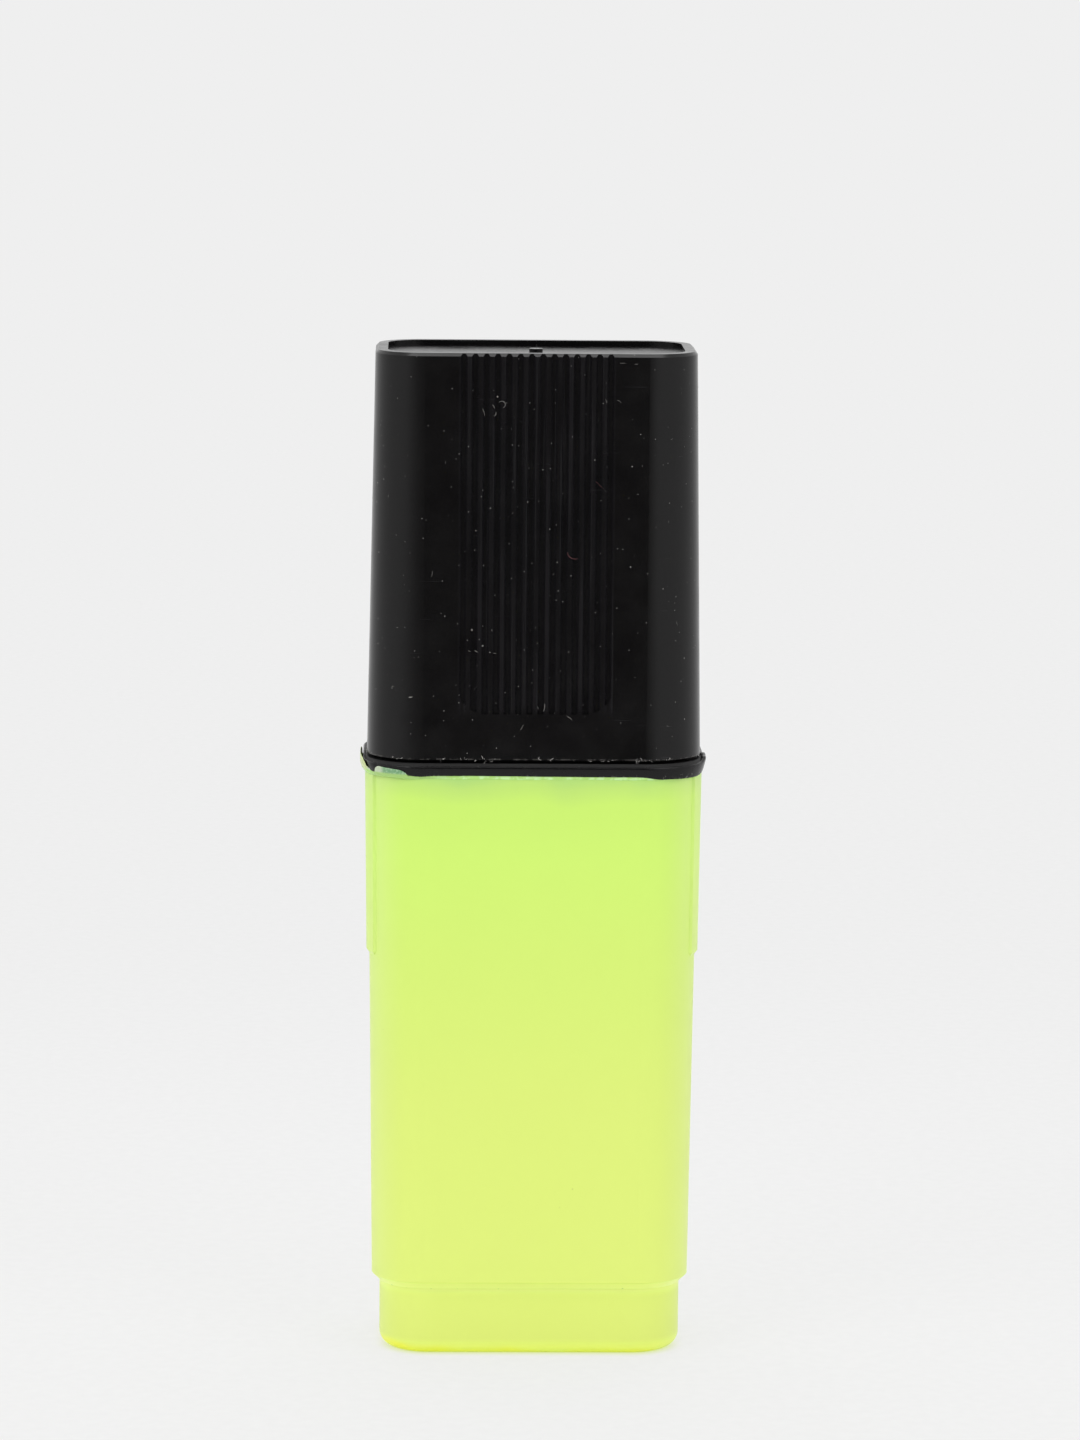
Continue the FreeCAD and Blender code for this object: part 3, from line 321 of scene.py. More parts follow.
def black_polystyrene():
    """Injection-moulded black polystyrene, polished in the mould and then rubbed in a drawer.

    The eye gets a deep black with a satin sheen, faint rub marks, a few hair-fine scratches and
    pale dust. The grip ribs are rubbed a little greyer along their crests, and their grooves'
    slanted walls carry a painted sheen. The cap's lip shows a broken pale line, partly wear nicks
    and partly a painted edge highlight, and the flange is dulled where the welding horn pressed it.
    """
    material, tree = new_material("moulded_black_polystyrene")
    millimetres = object_place(tree)
    axes = add(tree, "ShaderNodeSeparateXYZ", {0: millimetres}).outputs
    # Rub marks are 2 to 4 mm across, the mould's polish about 0.15 mm.
    rubs = add(tree, "ShaderNodeTexNoise", {"Vector": millimetres, "Scale": 0.35, "Detail": 4.0,
                                            "Roughness": 0.6})
    polish = add(tree, "ShaderNodeTexNoise", {"Vector": millimetres, "Scale": 6.5, "Detail": 2.0})
    # The ribbed fields: near the middle of the two broad faces, above the plain lower band.
    side = add(tree, "ShaderNodeMath", {0: axes["X"]}, operation="ABSOLUTE").outputs[0]
    depth = add(tree, "ShaderNodeMath", {0: axes["Y"]}, operation="ABSOLUTE").outputs[0]
    mouth = CAP_LOW[2] / MM
    grip = mask(tree, (side, GRIP_HALF_WIDTH + 0.1, GRIP_HALF_WIDTH - 0.1), (depth, 7.0, 7.2),
                (axes["Z"], mouth + GRIP_START - 0.3, mouth + GRIP_START + 0.7))
    # The wave is 1 along the middle of each rib. Rubbing reaches 15 to 20 mm of a crest.
    phase = add(tree, "ShaderNodeMath", {0: axes["X"], 1: 2 * math.pi / RIB_PITCH},
                operation="MULTIPLY")
    wave = add(tree, "ShaderNodeMath", {0: phase.outputs[0]}, operation="COSINE").outputs[0]
    wear_place = add(tree, "ShaderNodeMapping", {"Vector": millimetres,
                                                 "Scale": (0.9, 0.4, 0.055)})
    wear = add(tree, "ShaderNodeTexNoise", {"Vector": wear_place.outputs[0], "Scale": 1.0,
                                            "Detail": 2.0})
    crested = mask(tree, grip, (wave, -0.4, 0.9), (wear.outputs["Fac"], 0.25, 0.7))
    # Rub streaks are 0.1 to 0.2 mm wide and 10 to 20 mm long.
    streak_place = add(tree, "ShaderNodeMapping", {"Vector": millimetres,
                                                   "Scale": (4.5, 0.4, 0.06)})
    streaks = add(tree, "ShaderNodeTexNoise", {"Vector": streak_place.outputs[0], "Scale": 1.0,
                                               "Detail": 3.0})
    streaked = mask(tree, grip, (streaks.outputs["Fac"], 0.56, 0.74))
    # The grooves' slanted walls are greyed with a painted sheen.
    groove_wall_sheen = mask(tree, grip, (wave, 0.45, 0.2), (wave, -0.9, -0.5))
    # The cap's lip: a broken pale line, partly wear nicks and partly a painted edge highlight.
    nicks = add(tree, "ShaderNodeTexNoise", {"Vector": millimetres, "Scale": 1.8, "Detail": 3.0,
                                             "Roughness": 0.7})
    lip = mask(tree, (axes["Z"], mouth + 0.15, mouth + 0.05),
               (axes["Z"], mouth - 0.1, mouth - 0.02), (nicks.outputs["Fac"], 0.46, 0.6))
    # The horn pressed the flange's upper side and its upper edge.
    pressed = FLANGE_TOP / MM
    horn = mask(tree, (axes["Z"], pressed - 0.45, pressed - 0.2),
                (axes["Z"], pressed + 0.1, pressed + 0.02))
    # Scratches run level, about 0.1 mm wide and 6 mm long. The turn only picks another part of
    # the pattern.
    scratch_place = add(tree, "ShaderNodeMapping", {"Vector": millimetres,
                                                    "Rotation": (0.0, 0.5, 0.0),
                                                    "Scale": (0.16, 1.0, 5.0)})
    scratches = add(tree, "ShaderNodeTexNoise", {"Vector": scratch_place.outputs[0],
                                                 "Scale": 1.0, "Detail": 2.0})
    scratched = mask(tree, (scratches.outputs["Fac"], 0.70, 0.76))
    dusty = add(tree, "ShaderNodeMath", {0: dust(tree, millimetres, 0.6, 0.039),
                                         1: dust(tree, millimetres, 2.1, 0.06)},
                operation="MAXIMUM").outputs[0]
    colour = layered(tree, linear("0a090a"), (rubs.outputs["Fac"], linear("0e0d0d")),
                     (mask(tree, crested, 0.9), linear("19181a")),
                     (mask(tree, groove_wall_sheen, 0.9), linear("141315")),
                     (mask(tree, streaked, 0.55), linear("222123")),
                     (mask(tree, lip, 0.7), linear("4b4947")),
                     (mask(tree, scratched, 0.35), linear("2a2a2c")),
                     (mask(tree, dusty, 0.9), linear("b5b3b0")))
    satin = add(tree, "ShaderNodeMapRange", {"Value": rubs.outputs["Fac"], "From Min": 0.3,
                                             "From Max": 0.7, "To Min": 0.16, "To Max": 0.26})
    dulled = add(tree, "ShaderNodeMath", {0: horn, 1: 0.3, 2: satin.outputs[0]},
                 operation="MULTIPLY_ADD")
    rough = add(tree, "ShaderNodeMath", {0: dusty, 1: 0.5, 2: dulled.outputs[0]},
                operation="MULTIPLY_ADD")
    height = add(tree, "ShaderNodeMath", {0: polish.outputs["Fac"], 1: 0.25, 2: dusty},
                 operation="MULTIPLY_ADD")
    bump = add(tree, "ShaderNodeBump", {"Height": height.outputs[0], "Strength": 0.35,
                                        "Distance": 0.02 * MM})
    shader = add(tree, "ShaderNodeBsdfPrincipled", {"Base Color": colour, "IOR": 1.5,
                                                    "Roughness": rough.outputs[0],
                                                    "Specular IOR Level": 0.28,
                                                    "Normal": bump.outputs[0]})
    add(tree, "ShaderNodeOutputMaterial", {"Surface": shader.outputs[0]})
    return material


def remelted_polystyrene():
    """Black polystyrene that was melted by the weld and set again: duller, wavy, whitish nicks."""
    material, tree = new_material("remelted_black_polystyrene")
    millimetres = object_place(tree)
    axes = add(tree, "ShaderNodeSeparateXYZ", {0: millimetres}).outputs
    # The melt froze in folds about 0.6 mm apart along the seam and 0.25 mm apart up it.
    fold_place = add(tree, "ShaderNodeMapping", {"Vector": millimetres,
                                                 "Scale": (1.6, 1.6, 4.0)})
    folds = add(tree, "ShaderNodeTexNoise", {"Vector": fold_place.outputs[0], "Scale": 1.0,
                                             "Detail": 3.0, "Roughness": 0.6})
    nicks = add(tree, "ShaderNodeTexNoise", {"Vector": millimetres, "Scale": 3.2, "Detail": 3.0,
                                             "Roughness": 0.7})
    # Nicks whiten the lower edge, where the ring was scraped on the barrel.
    nicked = mask(tree, (axes["Z"], FLANGE_BOTTOM / MM + 0.12, FLANGE_BOTTOM / MM - 0.02),
                  (nicks.outputs["Fac"], 0.60, 0.70))
    colour = layered(tree, linear("080708"), (folds.outputs["Fac"], linear("0e0d0e")),
                     (mask(tree, nicked, 0.7), linear("8e8f88")))
    roughness = add(tree, "ShaderNodeMapRange", {"Value": folds.outputs["Fac"], "From Min": 0.3,
                                                 "From Max": 0.7, "To Min": 0.18,
                                                 "To Max": 0.30})
    bump = add(tree, "ShaderNodeBump", {"Height": folds.outputs["Fac"], "Strength": 0.4,
                                        "Distance": 0.04 * MM})
    shader = add(tree, "ShaderNodeBsdfPrincipled", {"Base Color": colour, "IOR": 1.5,
                                                    "Roughness": roughness.outputs[0],
                                                    "Specular IOR Level": 0.26,
                                                    "Normal": bump.outputs[0]})
    add(tree, "ShaderNodeOutputMaterial", {"Surface": shader.outputs[0]})
    return material


def fluorescent_polypropylene():
    """Injection-moulded polypropylene with a fluorescent yellow-green dye, left as it came out.

    The eye gets an even satin yellow, greener and darker towards the top, where the black section
    shows through the wall, and a little cloudy lower down, where the ink does. A painted glow
    brightens the foot's bottom edge and the seam under the barrel, and the rounded corners and
    sides carry a painted sheen.
    """
    material, tree = new_material("moulded_fluorescent_polypropylene")
    millimetres = object_place(tree)
    axes = add(tree, "ShaderNodeSeparateXYZ", {0: millimetres}).outputs
    # The colour goes by the share of the height up to the flange, shifted a little by clouds. Its
    # lowest stops, about the bottom 0.7 mm, are a painted glow: a more saturated yellow on the
    # foot's bottom rounding.
    height = add(tree, "ShaderNodeMath", {0: axes["Z"], 1: FLANGE_BOTTOM / MM},
                 operation="DIVIDE")
    clouds = add(tree, "ShaderNodeTexNoise", {"Vector": millimetres, "Scale": 0.11,
                                              "Detail": 3.0, "Roughness": 0.5})
    shifted = add(tree, "ShaderNodeMath", {0: clouds.outputs["Fac"], 1: 0.06,
                                           2: height.outputs[0]}, operation="MULTIPLY_ADD")
    lowered = add(tree, "ShaderNodeMath", {0: shifted.outputs[0], 1: 0.03}, operation="SUBTRACT")
    dye_and_bottom_glow = add(tree, "ShaderNodeValToRGB", {"Fac": lowered.outputs[0]})
    fill_ramp(dye_and_bottom_glow, [(0.0, "eff23e"), (0.006, "eef352"), (0.014, "e8f77e"), (0.12, "e7f87e"),
                     (0.45, "e1f57a"), (0.70, "d9f675"), (0.86, "d4f972"), (0.955, "cff670"),
                     (0.985, "c3ea76"), (1.0, "b4e07a")])
    # Painted glow: emission at the foot's lowest edge and at the seam under the barrel, which lifts
    # the shade there.
    foot_seam = BARREL_LOW[2] / MM
    lowest_edge_glow = mask(tree, (axes["Z"], 1.5, 0.5))
    seam_glow = mask(tree, (axes["Z"], foot_seam - 0.9, foot_seam - 0.1),
                (axes["Z"], foot_seam + 0.75, foot_seam + 0.4))
    painted_glow = add(tree, "ShaderNodeMath", {0: mask(tree, lowest_edge_glow, 0.16), 1: mask(tree, seam_glow, 0.09)},
               operation="ADD")
    painted_glow_colour = layered(tree, linear("e6f83c"), (seam_glow, linear("fcffd2")))
    grain = add(tree, "ShaderNodeTexNoise", {"Vector": millimetres, "Scale": 7.0, "Detail": 2.0})
    flow_place = add(tree, "ShaderNodeMapping", {"Vector": millimetres,
                                                 "Scale": (0.35, 0.35, 0.05)})
    flow = add(tree, "ShaderNodeTexNoise", {"Vector": flow_place.outputs[0], "Scale": 1.0,
                                            "Detail": 2.0})
    # Grime settles in the seam between the barrel and the foot.
    grime = add(tree, "ShaderNodeTexNoise", {"Vector": millimetres, "Scale": 1.9, "Detail": 1.0})
    grimy = mask(tree, (axes["Z"], foot_seam - 0.16, foot_seam - 0.02),
                 (axes["Z"], foot_seam + 0.16, foot_seam + 0.02),
                 (grime.outputs["Fac"], 0.68, 0.73), 0.6)
    # Paler towards the rounded corners and the sides than on the flat front: a painted sheen.
    side = add(tree, "ShaderNodeMath", {0: axes["X"]}, operation="ABSOLUTE").outputs[0]
    colour = layered(tree, dye_and_bottom_glow.outputs["Color"], (grimy, linear("6b6a35")),
                     (mask(tree, (side, 10.2, 13.6), 0.36), linear("e8faa8")),
                     (mask(tree, dust(tree, millimetres, 3.4, 0.07), 0.35), linear("8f9a4a")))
    roughness = add(tree, "ShaderNodeMapRange", {"Value": flow.outputs["Fac"], "From Min": 0.3,
                                                 "From Max": 0.7, "To Min": 0.34,
                                                 "To Max": 0.46})
    bump = add(tree, "ShaderNodeBump", {"Height": grain.outputs["Fac"], "Strength": 0.25,
                                        "Distance": 0.015 * MM})
    shader = add(tree, "ShaderNodeBsdfPrincipled", {"Base Color": colour, "IOR": 1.49,
                                                    "Roughness": roughness.outputs[0],
                                                    "Specular IOR Level": 0.4,
                                                    "Emission Color": painted_glow_colour,
                                                    "Emission Strength": painted_glow.outputs[0],
                                                    "Normal": bump.outputs[0]})
    add(tree, "ShaderNodeOutputMaterial", {"Surface": shader.outputs[0]})
    return material


def pressed_fibre(name, colours, along, roughness):
    """Fibre pressed or bundled along the upright axis: fine streaks, matt, with a soft nap."""
    material, tree = new_material(name)
    millimetres = object_place(tree)
    height = add(tree, "ShaderNodeSeparateXYZ", {0: millimetres}).outputs["Z"]
    pale, bright, deep = map(linear, colours)
    # Single fibres are 0.02 mm thick; they are drawn about 0.12 mm thick to show.
    fibre_place = add(tree, "ShaderNodeMapping", {"Vector": millimetres,
                                                  "Scale": (8.0, 8.0, along)})
    fibres = add(tree, "ShaderNodeTexNoise", {"Vector": fibre_place.outputs[0], "Scale": 1.0,
                                              "Detail": 3.0, "Roughness": 0.6})
    soak = add(tree, "ShaderNodeTexNoise", {"Vector": millimetres, "Scale": 0.5, "Detail": 2.0})
    # The cut end is smudged by the print it was drawn over.
    tip = NIB_HIGH[2] / MM
    smudge = add(tree, "ShaderNodeTexNoise", {"Vector": millimetres, "Scale": 1.4, "Detail": 3.0})
    used = mask(tree, (height, tip - 3.2, tip - 0.4), (smudge.outputs["Fac"], 0.45, 0.65), 0.45)
    colour = layered(tree, pale, (fibres.outputs["Fac"], bright),
                     (mask(tree, soak.outputs["Fac"], 0.5), deep), (used, linear("8d9436")))
    bump = add(tree, "ShaderNodeBump", {"Height": fibres.outputs["Fac"], "Strength": 0.7,
                                        "Distance": 0.06 * MM})
    shader = add(tree, "ShaderNodeBsdfPrincipled", {"Base Color": colour, "IOR": 1.45,
                                                    "Roughness": roughness,
                                                    "Normal": bump.outputs[0]})
    add(tree, "ShaderNodeOutputMaterial", {"Surface": shader.outputs[0]})
    return material


def clear_film():
    """Thin polypropylene film rolled round the fibre block: glossy, faintly creased, ink-tinted."""
    material, tree = new_material("rolled_polypropylene_film")
    creases = add(tree, "ShaderNodeTexNoise", {"Vector": object_place(tree), "Scale": 0.7,
                                               "Detail": 3.0, "Distortion": 1.5})
    colour = layered(tree, linear("e6f29a"), (creases.outputs["Fac"], linear("f1f7c8")))
    bump = add(tree, "ShaderNodeBump", {"Height": creases.outputs["Fac"], "Strength": 0.3,
                                        "Distance": 0.1 * MM})
    shader = add(tree, "ShaderNodeBsdfPrincipled", {"Base Color": colour, "IOR": 1.49,
                                                    "Roughness": 0.15,
                                                    "Normal": bump.outputs[0]})
    add(tree, "ShaderNodeOutputMaterial", {"Surface": shader.outputs[0]})
    return material


def soft_polyethylene():
    """Soft natural polyethylene of the inner cap: milky, waxy, with a dried ink bloom inside."""
    material, tree = new_material("moulded_natural_polyethylene")
    millimetres = object_place(tree)
    wax = add(tree, "ShaderNodeTexNoise", {"Vector": millimetres, "Scale": 1.6, "Detail": 2.0})
    stain = add(tree, "ShaderNodeTexNoise", {"Vector": millimetres, "Scale": 0.45, "Detail": 3.0})
    colour = layered(tree, linear("e4e4df"), (wax.outputs["Fac"], linear("efefec")),
                     (mask(tree, (stain.outputs["Fac"], 0.55, 0.7), 0.3), linear("dfee7a")))
    bump = add(tree, "ShaderNodeBump", {"Height": wax.outputs["Fac"], "Strength": 0.2,
                                        "Distance": 0.03 * MM})
    shader = add(tree, "ShaderNodeBsdfPrincipled", {"Base Color": colour, "IOR": 1.51,
                                                    "Roughness": 0.45,
                                                    "Normal": bump.outputs[0]})
    add(tree, "ShaderNodeOutputMaterial", {"Surface": shader.outputs[0]})
    return material


def squeezed_polypropylene():
    """Barrel plastic that was squeezed out molten: paler and glossier, green where it is a film.

    A thin film over the black collar looks blue-green, because the black shows through the dye.
    """
    material, tree = new_material("squeezed_fluorescent_polypropylene")
    millimetres = object_place(tree)
    axes = add(tree, "ShaderNodeSeparateXYZ", {0: millimetres}).outputs
    flow = add(tree, "ShaderNodeTexNoise", {"Vector": millimetres, "Scale": 1.7, "Detail": 3.0})
    milk = add(tree, "ShaderNodeTexNoise", {"Vector": millimetres, "Scale": 5.0, "Detail": 2.0})
    over_black = mask(tree, (axes["Z"], FLANGE_BOTTOM / MM - 0.05, FLANGE_BOTTOM / MM + 0.18))
    # Towards the left front corner the lip is painted darker, as shade.
    left_corner_shade = mask(tree, (axes["X"], -6.0, -9.0), (axes["X"], -13.6, -12.6))
    lip = layered(tree, linear("b4e27c"),
                  (mask(tree, (flow.outputs["Fac"], 0.42, 0.62)), linear("c6f0a4")),
                  (left_corner_shade, linear("a6cd74")))
    # The film is milky in flecks of 0.2 mm, torn and whitish beyond the front corner's middle,
    # and thicker and pale yellow at the left end.
    end = SECTION_LOW[0] / MM
    film = layered(tree, linear("74a275"),
                   (mask(tree, (milk.outputs["Fac"], 0.45, 0.68)), linear("9fbf9a")),
                   (mask(tree, (axes["X"], -12.0, -12.5)), linear("c3d0b4")),
                   (mask(tree, (axes["X"], end + 0.5, end + 0.2)), linear("ccdb98")))
    colour = layered(tree, lip, (over_black, film))
    bump = add(tree, "ShaderNodeBump", {"Height": milk.outputs["Fac"], "Strength": 0.4,
                                        "Distance": 0.04 * MM})
    shader = add(tree, "ShaderNodeBsdfPrincipled", {"Base Color": colour, "IOR": 1.49,
                                                    "Roughness": 0.22,
                                                    "Normal": bump.outputs[0]})
    add(tree, "ShaderNodeOutputMaterial", {"Surface": shader.outputs[0]})
    return material


def torn_polystyrene():
    """Black polystyrene torn at an edge: white stress marks with dark roots."""
    material, tree = new_material("stress_whitened_polystyrene")
    stress = add(tree, "ShaderNodeTexNoise", {"Vector": object_place(tree), "Scale": 3.5,
                                              "Detail": 2.0})
    colour = layered(tree, linear("3c3a3a"),
                     (mask(tree, (stress.outputs["Fac"], 0.38, 0.6)), linear("c9c6c2")))
    shader = add(tree, "ShaderNodeBsdfPrincipled", {"Base Color": colour, "IOR": 1.5,
                                                    "Roughness": 0.6})
    add(tree, "ShaderNodeOutputMaterial", {"Surface": shader.outputs[0]})
    return material


def textile_fibre(name, pale, dark):
    """A loose textile fibre: matt, its tone uneven along its length, with a soft sheen."""
    material, tree = new_material(name)
    lumps = add(tree, "ShaderNodeTexNoise", {"Vector": object_place(tree), "Scale": 4.0,
                                             "Detail": 1.0})
    colour = layered(tree, linear(pale), (lumps.outputs["Fac"], linear(dark)))
    shader = add(tree, "ShaderNodeBsdfPrincipled", {"Base Color": colour, "IOR": 1.53,
                                                    "Roughness": 0.7, "Sheen Weight": 0.3})
    add(tree, "ShaderNodeOutputMaterial", {"Surface": shader.outputs[0]})
    return material


def dress(node, material):
    """Gives a fixed model's node its material."""
    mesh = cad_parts[node].data
    mesh.materials.clear()
    mesh.materials.append(material)


# ---------------------------------------------------------------- shapes
def outline_at(way, width, depth, corner):
    """Points of a rounded rectangle and their outward directions, at lengths along it.

    A length of 0 is the middle of the front, and it grows towards +X. A point is the middle of its
    corner's circle plus the radius times its direction. Along a straight side that middle slides
    from one corner to the next while the direction stays.
    """
    across, along, arc = width / 2 - corner, depth / 2 - corner, corner * math.pi / 2
    runs = [0, across, arc, 2 * along, arc, 2 * across, arc, 2 * along, arc, across]
    knots = np.cumsum(runs)
    turns = np.radians([-90, -90, 0, 0, 90, 90, 180, 180, 270, 270])
    middle_x = across * np.array([0, 1, 1, 1, 1, -1, -1, -1, -1, 0])
    middle_y = along * np.array([-1, -1, -1, 1, 1, 1, 1, -1, -1, -1])
    way = np.mod(way, knots[-1])
    turn = np.interp(way, knots, turns)
    out = np.stack([np.cos(turn), np.sin(turn)], axis=-1)
    middle = np.stack([np.interp(way, knots, middle_x), np.interp(way, knots, middle_y)], axis=-1)
    return middle + corner * out, out


def perimeter(width, depth, corner):
    """The length all round a rounded rectangle."""
    return 2 * (width + depth) - (8 - 2 * math.pi) * corner


def hump(way, middle, half_width, power=2):
    """A bump 1 high: the exponential of minus the distance over the half width, to a power."""
    return np.exp(-np.abs((way - middle) / half_width) ** power)


def ragged(turn, waves, rng):
    """An uneven line round a closed way, about 1 high: sines of random phase, finer and lower."""
    count = np.arange(1, waves + 1)
    phase = rng.uniform(0, 2 * math.pi, waves)
    height = rng.uniform(0.5, 1.0, waves) / np.sqrt(count)
    lines = height * np.sin(np.outer(turn, count) + phase)
    return lines.sum(axis=1) / height.sum() * 2


def make_piece(name, grids, closed, material, body):
    """A piece from grids of points, each grid one shell, closed round its columns.

    Rows run along the shape. `closed` joins the last row to the first, otherwise the first and
    last rows are pinched to points. Doubles are merged and the faces turned outwards.
    """
    count, rows, columns = grids.shape[:3]
    index = np.arange(count * rows * columns).reshape(count, rows, columns)
    if closed:
        index = np.concatenate([index, index[:, :1]], axis=1)
    index = np.concatenate([index, index[:, :, :1]], axis=2)
    faces = np.stack([index[:, :-1, :-1], index[:, 1:, :-1], index[:, 1:, 1:],
                      index[:, :-1, 1:]], axis=-1)
    mesh = bpy.data.meshes.new(name)
    mesh.from_pydata(grids.reshape(-1, 3).tolist(), [], faces.reshape(-1, 4).tolist())
    shell = bmesh.new()
    shell.from_mesh(mesh)
    bmesh.ops.remove_doubles(shell, verts=shell.verts, dist=1e-7)
    bmesh.ops.recalc_face_normals(shell, faces=shell.faces)
    shell.to_mesh(mesh)
    shell.free()
    mesh.polygons.foreach_set("use_smooth", np.ones(len(mesh.polygons), dtype=bool))
    mesh.materials.append(material)
    piece = bpy.data.objects.new(name, mesh)
    bpy.context.scene.collection.objects.link(piece)
    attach(piece, body)


# ---------------------------------------------------------------- the weld's two rings
# Places are lengths round the flange from the middle of the front, + towards +X, in millimetres.
# The front corners lie 9 to 17 from the middle, and the middles of the two ends at 20.
SEAM_POINTS = 1100
SECTION_POINTS = 16
COARSE_WAVES = 22
FILM_CORNER, FILM_CORNER_HALF = -11.9, 1.5
FILM_END = -18.2
FIN = 17.2
# Where the flash hangs lower: by how much, the middle, the half width and the hump's power.
DRIPS = ((0.10, -9.2, 0.9, 2), (0.20, 10.2, 1.1, 2), (0.24, 13.2, 2.2, 4))


def along_seam(seed, fine_waves):
    """Places round the flange, their points and outward directions, a coarse and a fine line."""
    rng = np.random.default_rng(seed)
    length = perimeter(FLANGE_WIDTH, FLANGE_DEPTH, FLANGE_CORNER)
    share = np.arange(SEAM_POINTS) / SEAM_POINTS
    points, out = outline_at(share * length, FLANGE_WIDTH, FLANGE_DEPTH, FLANGE_CORNER)
    front = (np.mod(share + 0.5, 1) - 0.5) * length / MM
    turn = 2 * math.pi * share
    return front, points, out, ragged(turn, COARSE_WAVES, rng), ragged(turn, fine_waves, rng)


def film_height(front, fine):
    """How far the barrel's plastic climbs the collar at the left, in millimetres.

    It is the sum of a low hump on the front corner, which sinks towards the front, and a high
    one round the left end.
    """
    sinking = 1 - 0.2 * (front - FILM_CORNER) / FILM_CORNER_HALF
    corner = 0.44 * hump(front, FILM_CORNER, FILM_CORNER_HALF, 8) * sinking
    return (corner * (1 + 0.08 * fine)
            + 1.08 * hump(front, FILM_END, 3.4, 6) * (1 + 0.12 * fine))


def seam_ring(name, points, out, low, top, reach, material):
    """A ring round the seam: at each place round it a closed section between its low and top.

    The section's height is halfway plus half the height times the sine, and `reach` gives its
    distance from the outline for the share of the height and the cosine, of a turn from 0 to 360
    degrees. Both are raised to the power 0.6 with their signs kept, which squares the section up.
    """
    section = np.linspace(0, 2 * math.pi, SECTION_POINTS, endpoint=False)
    rise = (1 + np.sign(np.sin(section)) * np.abs(np.sin(section)) ** 0.6) / 2
    wide = np.sign(np.cos(section)) * np.abs(np.cos(section)) ** 0.6
    z = FLANGE_BOTTOM + (low[:, None] * (1 - rise) + top[:, None] * rise) * MM
    xy = points[:, None, :] + out[:, None, :] * (reach(rise, wide) * MM)[..., None]
    grid = np.concatenate([xy, z[..., None]], axis=2)
    make_piece(name, grid[None], True, material, "barrel")


def weld_flash(material):
    """The uneven black ring squeezed out round the flange where it is welded to the barrel.

    Its lower edge hangs down by an uneven line plus humps near the two front corners, and draws
    back where the barrel's plastic climbs over it. At the right end it stands up as a torn fin.
    """
    front, points, out, coarse, fine = along_seam(SEED, 150)
    filmed = np.minimum(film_height(front, 0) / 0.4, 1)
    fin = hump(front, FIN, 1.9, 4)
    hang = 0.06 + 0.004 * np.clip(front, -8, 8) + 0.03 * coarse + 0.04 * np.maximum(fine - 0.25, 0)
    for depth, *place in DRIPS:
        hang = hang + depth * hump(front, *place)
    low = -np.maximum(hang, 0.02) * (1 - filmed) + 0.1 * filmed
    top = 0.74 + 0.03 * fine + fin * (0.34 + 0.10 * fine)
    bulge = ((1 + 0.15 * coarse + 0.08 * fine)
             * (1 - 0.5 * filmed - 0.45 * hump(front, -22.5, 2.5, 4)))

    def reach(rise, wide):
        return (-0.11 + 0.03 * rise + fin[:, None] * rise * (0.10 + 0.06 * fine[:, None])
                + bulge[:, None] * (0.05 + 0.16 * rise) * wide)
    seam_ring("weld_flash", points, out, low, top, reach, material)


def squeezed_lip(material):
    """The thin lip of barrel plastic squeezed out with the weld, seen as a pale line below it.

    It lies under the black ring, and rises over it in a thin film near the left front corner and
    round the left end, where `cover` brings it out past the ring.
    """
    front, points, out, coarse, fine = along_seam(SEED + 1, 170)
    film = film_height(front, fine)
    cover = (np.minimum(film / 0.3, 1) + 0.45 * hump(front, -18.0, 2.6, 4))[:, None]

    def reach(rise, wide):
        return -0.155 + 0.25 * cover * np.clip(rise / 0.35, 0, 1) + 0.035 * wide
    seam_ring("squeezed_lip", points, out, -(0.30 + 0.06 * coarse + 0.02 * fine), 0.04 + film,
              reach, material)


# ---------------------------------------------------------------- shreds, dust and threads
HAIR_ROWS, HAIR_COLUMNS = 15, 6
# Clusters of shreds on the front of the cap's lip: a place round the lip in mm and a count.
BURR_CLUSTERS = ((-11.2, 5), (-7.5, 3), (-5.6, 2), (-4.1, 6), (-2.6, 1), (-1.2, 2), (0.8, 1),
                 (3.2, 1), (5.7, 2), (8.3, 6), (9.1, 7), (10.7, 3))
STRAY_BURRS = 46
# The fibres that catch the eye on the front: where each starts, in mm round the cap's outline and
# above its mouth, its heading and bend in degrees, and its length and radius in mm.
FRONT_FIBRES = (
    (-3.1, 28.6, 70, -230, 1.1, 0.010), (-3.2, 29.1, 80, 0, 0.12, 0.034),
    (-3.4, 28.2, 100, 40, 0.35, 0.009), (-3.5, 27.6, 20, 90, 0.45, 0.009),
    (-4.2, 27.6, 95, 20, 0.6, 0.007), (5.5, 28.7, 80, 60, 0.35, 0.008),
    (6.3, 28.9, 20, -90, 0.4, 0.008), (6.5, 31.9, 0, 0, 0.5, 0.006),
    (7.6, 31.8, 5, 10, 0.4, 0.006), (-5.1, 10.4, 95, 0, 0.16, 0.036),
    (-4.3, 9.2, 20, 0, 0.11, 0.036), (-4.9, 8.9, -50, 30, 0.35, 0.011),
    (-8.4, 14.7, 60, 40, 0.5, 0.006), (-10.2, 5.0, 5, 10, 0.33, 0.026),
    (0.6, 3.9, 50, 60, 0.7, 0.011), (0.3, 4.1, 120, 0, 0.25, 0.008),
    (2.5, 3.6, -20, -30, 0.55, 0.011), (-1.2, 2.4, 50, 20, 0.5, 0.006))
STREWN_FIBRES = 22


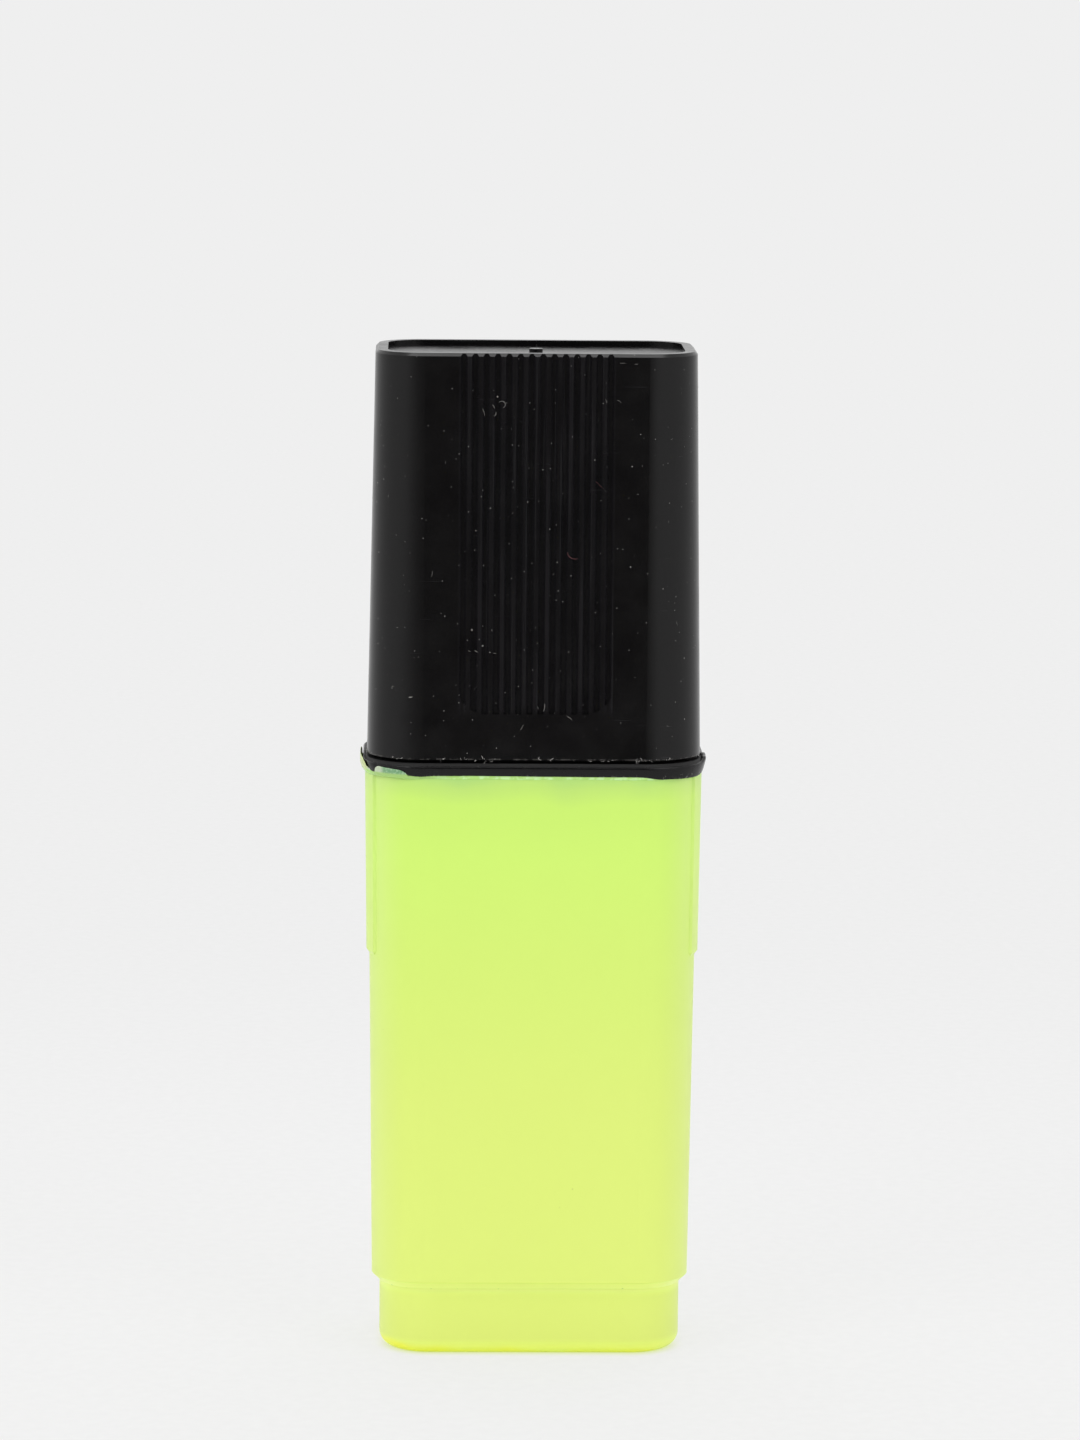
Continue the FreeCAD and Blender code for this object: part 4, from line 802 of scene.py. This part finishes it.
def hairs(name, way, height, heading, bend, length, radius, lift, material):
    """Fine curved hairs that lie on the cap, each a tube round a path of changing heading.

    The heading is the start heading plus the bend times the share t of the length. The path adds
    up its cosine along the surface and its sine up it. The radius is the middle one times the
    square root of 4t(1 - t), so both ends close to points, and the hair stands off by its lift
    times 4t(1 - t).
    """
    t = np.linspace(0, 1, HAIR_ROWS)
    turn = heading[:, None] + bend[:, None] * t
    pace = length[:, None] / (HAIR_ROWS - 1)
    along = way[:, None] + np.cumsum(np.cos(turn) * pace, axis=1)
    up = height[:, None] + np.cumsum(np.sin(turn) * pace, axis=1)
    arch = 4 * t * (1 - t)
    stand_off = radius[:, None] * 0.6 + lift[:, None] * arch
    points, out = outline_at(along, CAP_WIDTH, CAP_DEPTH, CAP_CORNER)
    xy = points + out * (stand_off - up * CAP_SLOPE)[..., None]
    path = np.concatenate([xy, (CAP_LOW[2] + up)[..., None]], axis=2)
    ahead = np.gradient(path, axis=1)
    ahead /= np.linalg.norm(ahead, axis=2, keepdims=True)
    outwards = np.concatenate([out, np.zeros((*along.shape, 1))], axis=2)
    across = np.cross(ahead, outwards)
    across /= np.linalg.norm(across, axis=2, keepdims=True)
    outwards = np.cross(across, ahead)
    thick = radius[:, None] * np.sqrt(arch)
    section = np.linspace(0, 2 * math.pi, HAIR_COLUMNS, endpoint=False)
    ring = (across[:, :, None, :] * np.cos(section)[:, None]
            + outwards[:, :, None, :] * np.sin(section)[:, None])
    grid = path[:, :, None, :] + ring * thick[:, :, None, None]
    make_piece(name, grid, False, material, "cap")


def lip_burrs(material):
    """Whitened shreds on the cap's lip, left by the parting line: most on the front."""
    rng = np.random.default_rng(SEED + 2)
    places, counts = zip(*BURR_CLUSTERS)
    clusters = np.repeat(places, counts)
    front = clusters + rng.normal(0, 0.28, len(clusters))
    around = rng.uniform(0, perimeter(CAP_WIDTH, CAP_DEPTH, CAP_CORNER) / MM, STRAY_BURRS)
    way = np.concatenate([front, around]) * MM
    count = len(way)
    height = rng.uniform(-0.02, 0.05, count) * MM
    heading = rng.normal(0, 0.45, count) + math.pi * rng.integers(0, 2, count)
    bend = rng.normal(0, 1.6, count)
    length = rng.uniform(0.08, 0.38, count) * MM
    radius = rng.uniform(0.009, 0.022, count) * MM
    lift = rng.uniform(0.0, 0.06, count) * MM
    hairs("lip_burrs", way, height, heading, bend, length, radius, lift, material)


def dust_fibres(material):
    """House dust caught on the cap: a few curled fibres and many short ones, lying flat."""
    rng = np.random.default_rng(SEED + 3)
    round_cap = perimeter(CAP_WIDTH, CAP_DEPTH, CAP_CORNER) / MM
    count = STREWN_FIBRES
    strewn = np.stack([rng.uniform(0, round_cap, count), rng.uniform(1.5, 30.5, count),
                       rng.uniform(0, 360, count), rng.normal(0, 90, count),
                       rng.uniform(0.1, 0.4, count), rng.uniform(0.004, 0.009, count)], axis=1)
    way, height, heading, bend, length, radius = np.concatenate([FRONT_FIBRES, strewn]).T
    hairs("dust_fibres", way * MM, height * MM, np.radians(heading), np.radians(bend),
          length * MM, radius * MM, np.full(len(way), 0.03 * MM), material)


def red_thread(material):
    """Two short red threads from a cloth on the cap's front, one bent to a hook."""
    hairs("red_thread", np.array([2.5, 4.6]) * MM, np.array([16.9, 22.6]) * MM,
          np.radians([-95.0, -50.0]), np.radians([120.0, 10.0]), np.array([1.2, 1.0]) * MM,
          np.array([0.012, 0.005]) * MM, np.array([0.03, 0.01]) * MM, material)


# ---------------------------------------------------------------- making
make_camera()
make_studio()
bpy.context.scene.view_settings.view_transform = "Standard"

black = black_polystyrene()
lime = fluorescent_polypropylene()
nib_fibre = pressed_fibre("pressed_polyester_nib", ("cbe016", "eff955", "bcd30c"), 0.3, 0.65)
ink_fibre = pressed_fibre("ink_soaked_acetate_fibre", ("d8ea2c", "e6f250", "c8dc1c"), 0.25, 0.5)
for node, material in (("cap", black), ("front_section", black), ("barrel", lime),
                       ("end_plug", lime), ("nib", nib_fibre), ("reservoir_core", ink_fibre),
                       ("reservoir_film", clear_film()), ("inner_cap", soft_polyethylene())):
    dress(node, material)
weld_flash(remelted_polystyrene())
squeezed_lip(squeezed_polypropylene())
lip_burrs(torn_polystyrene())
dust_fibres(textile_fibre("pale_dust_fibre", "c4c1bc", "6f6d6a"))
red_thread(textile_fibre("red_textile_thread", "7a2a30", "451519"))
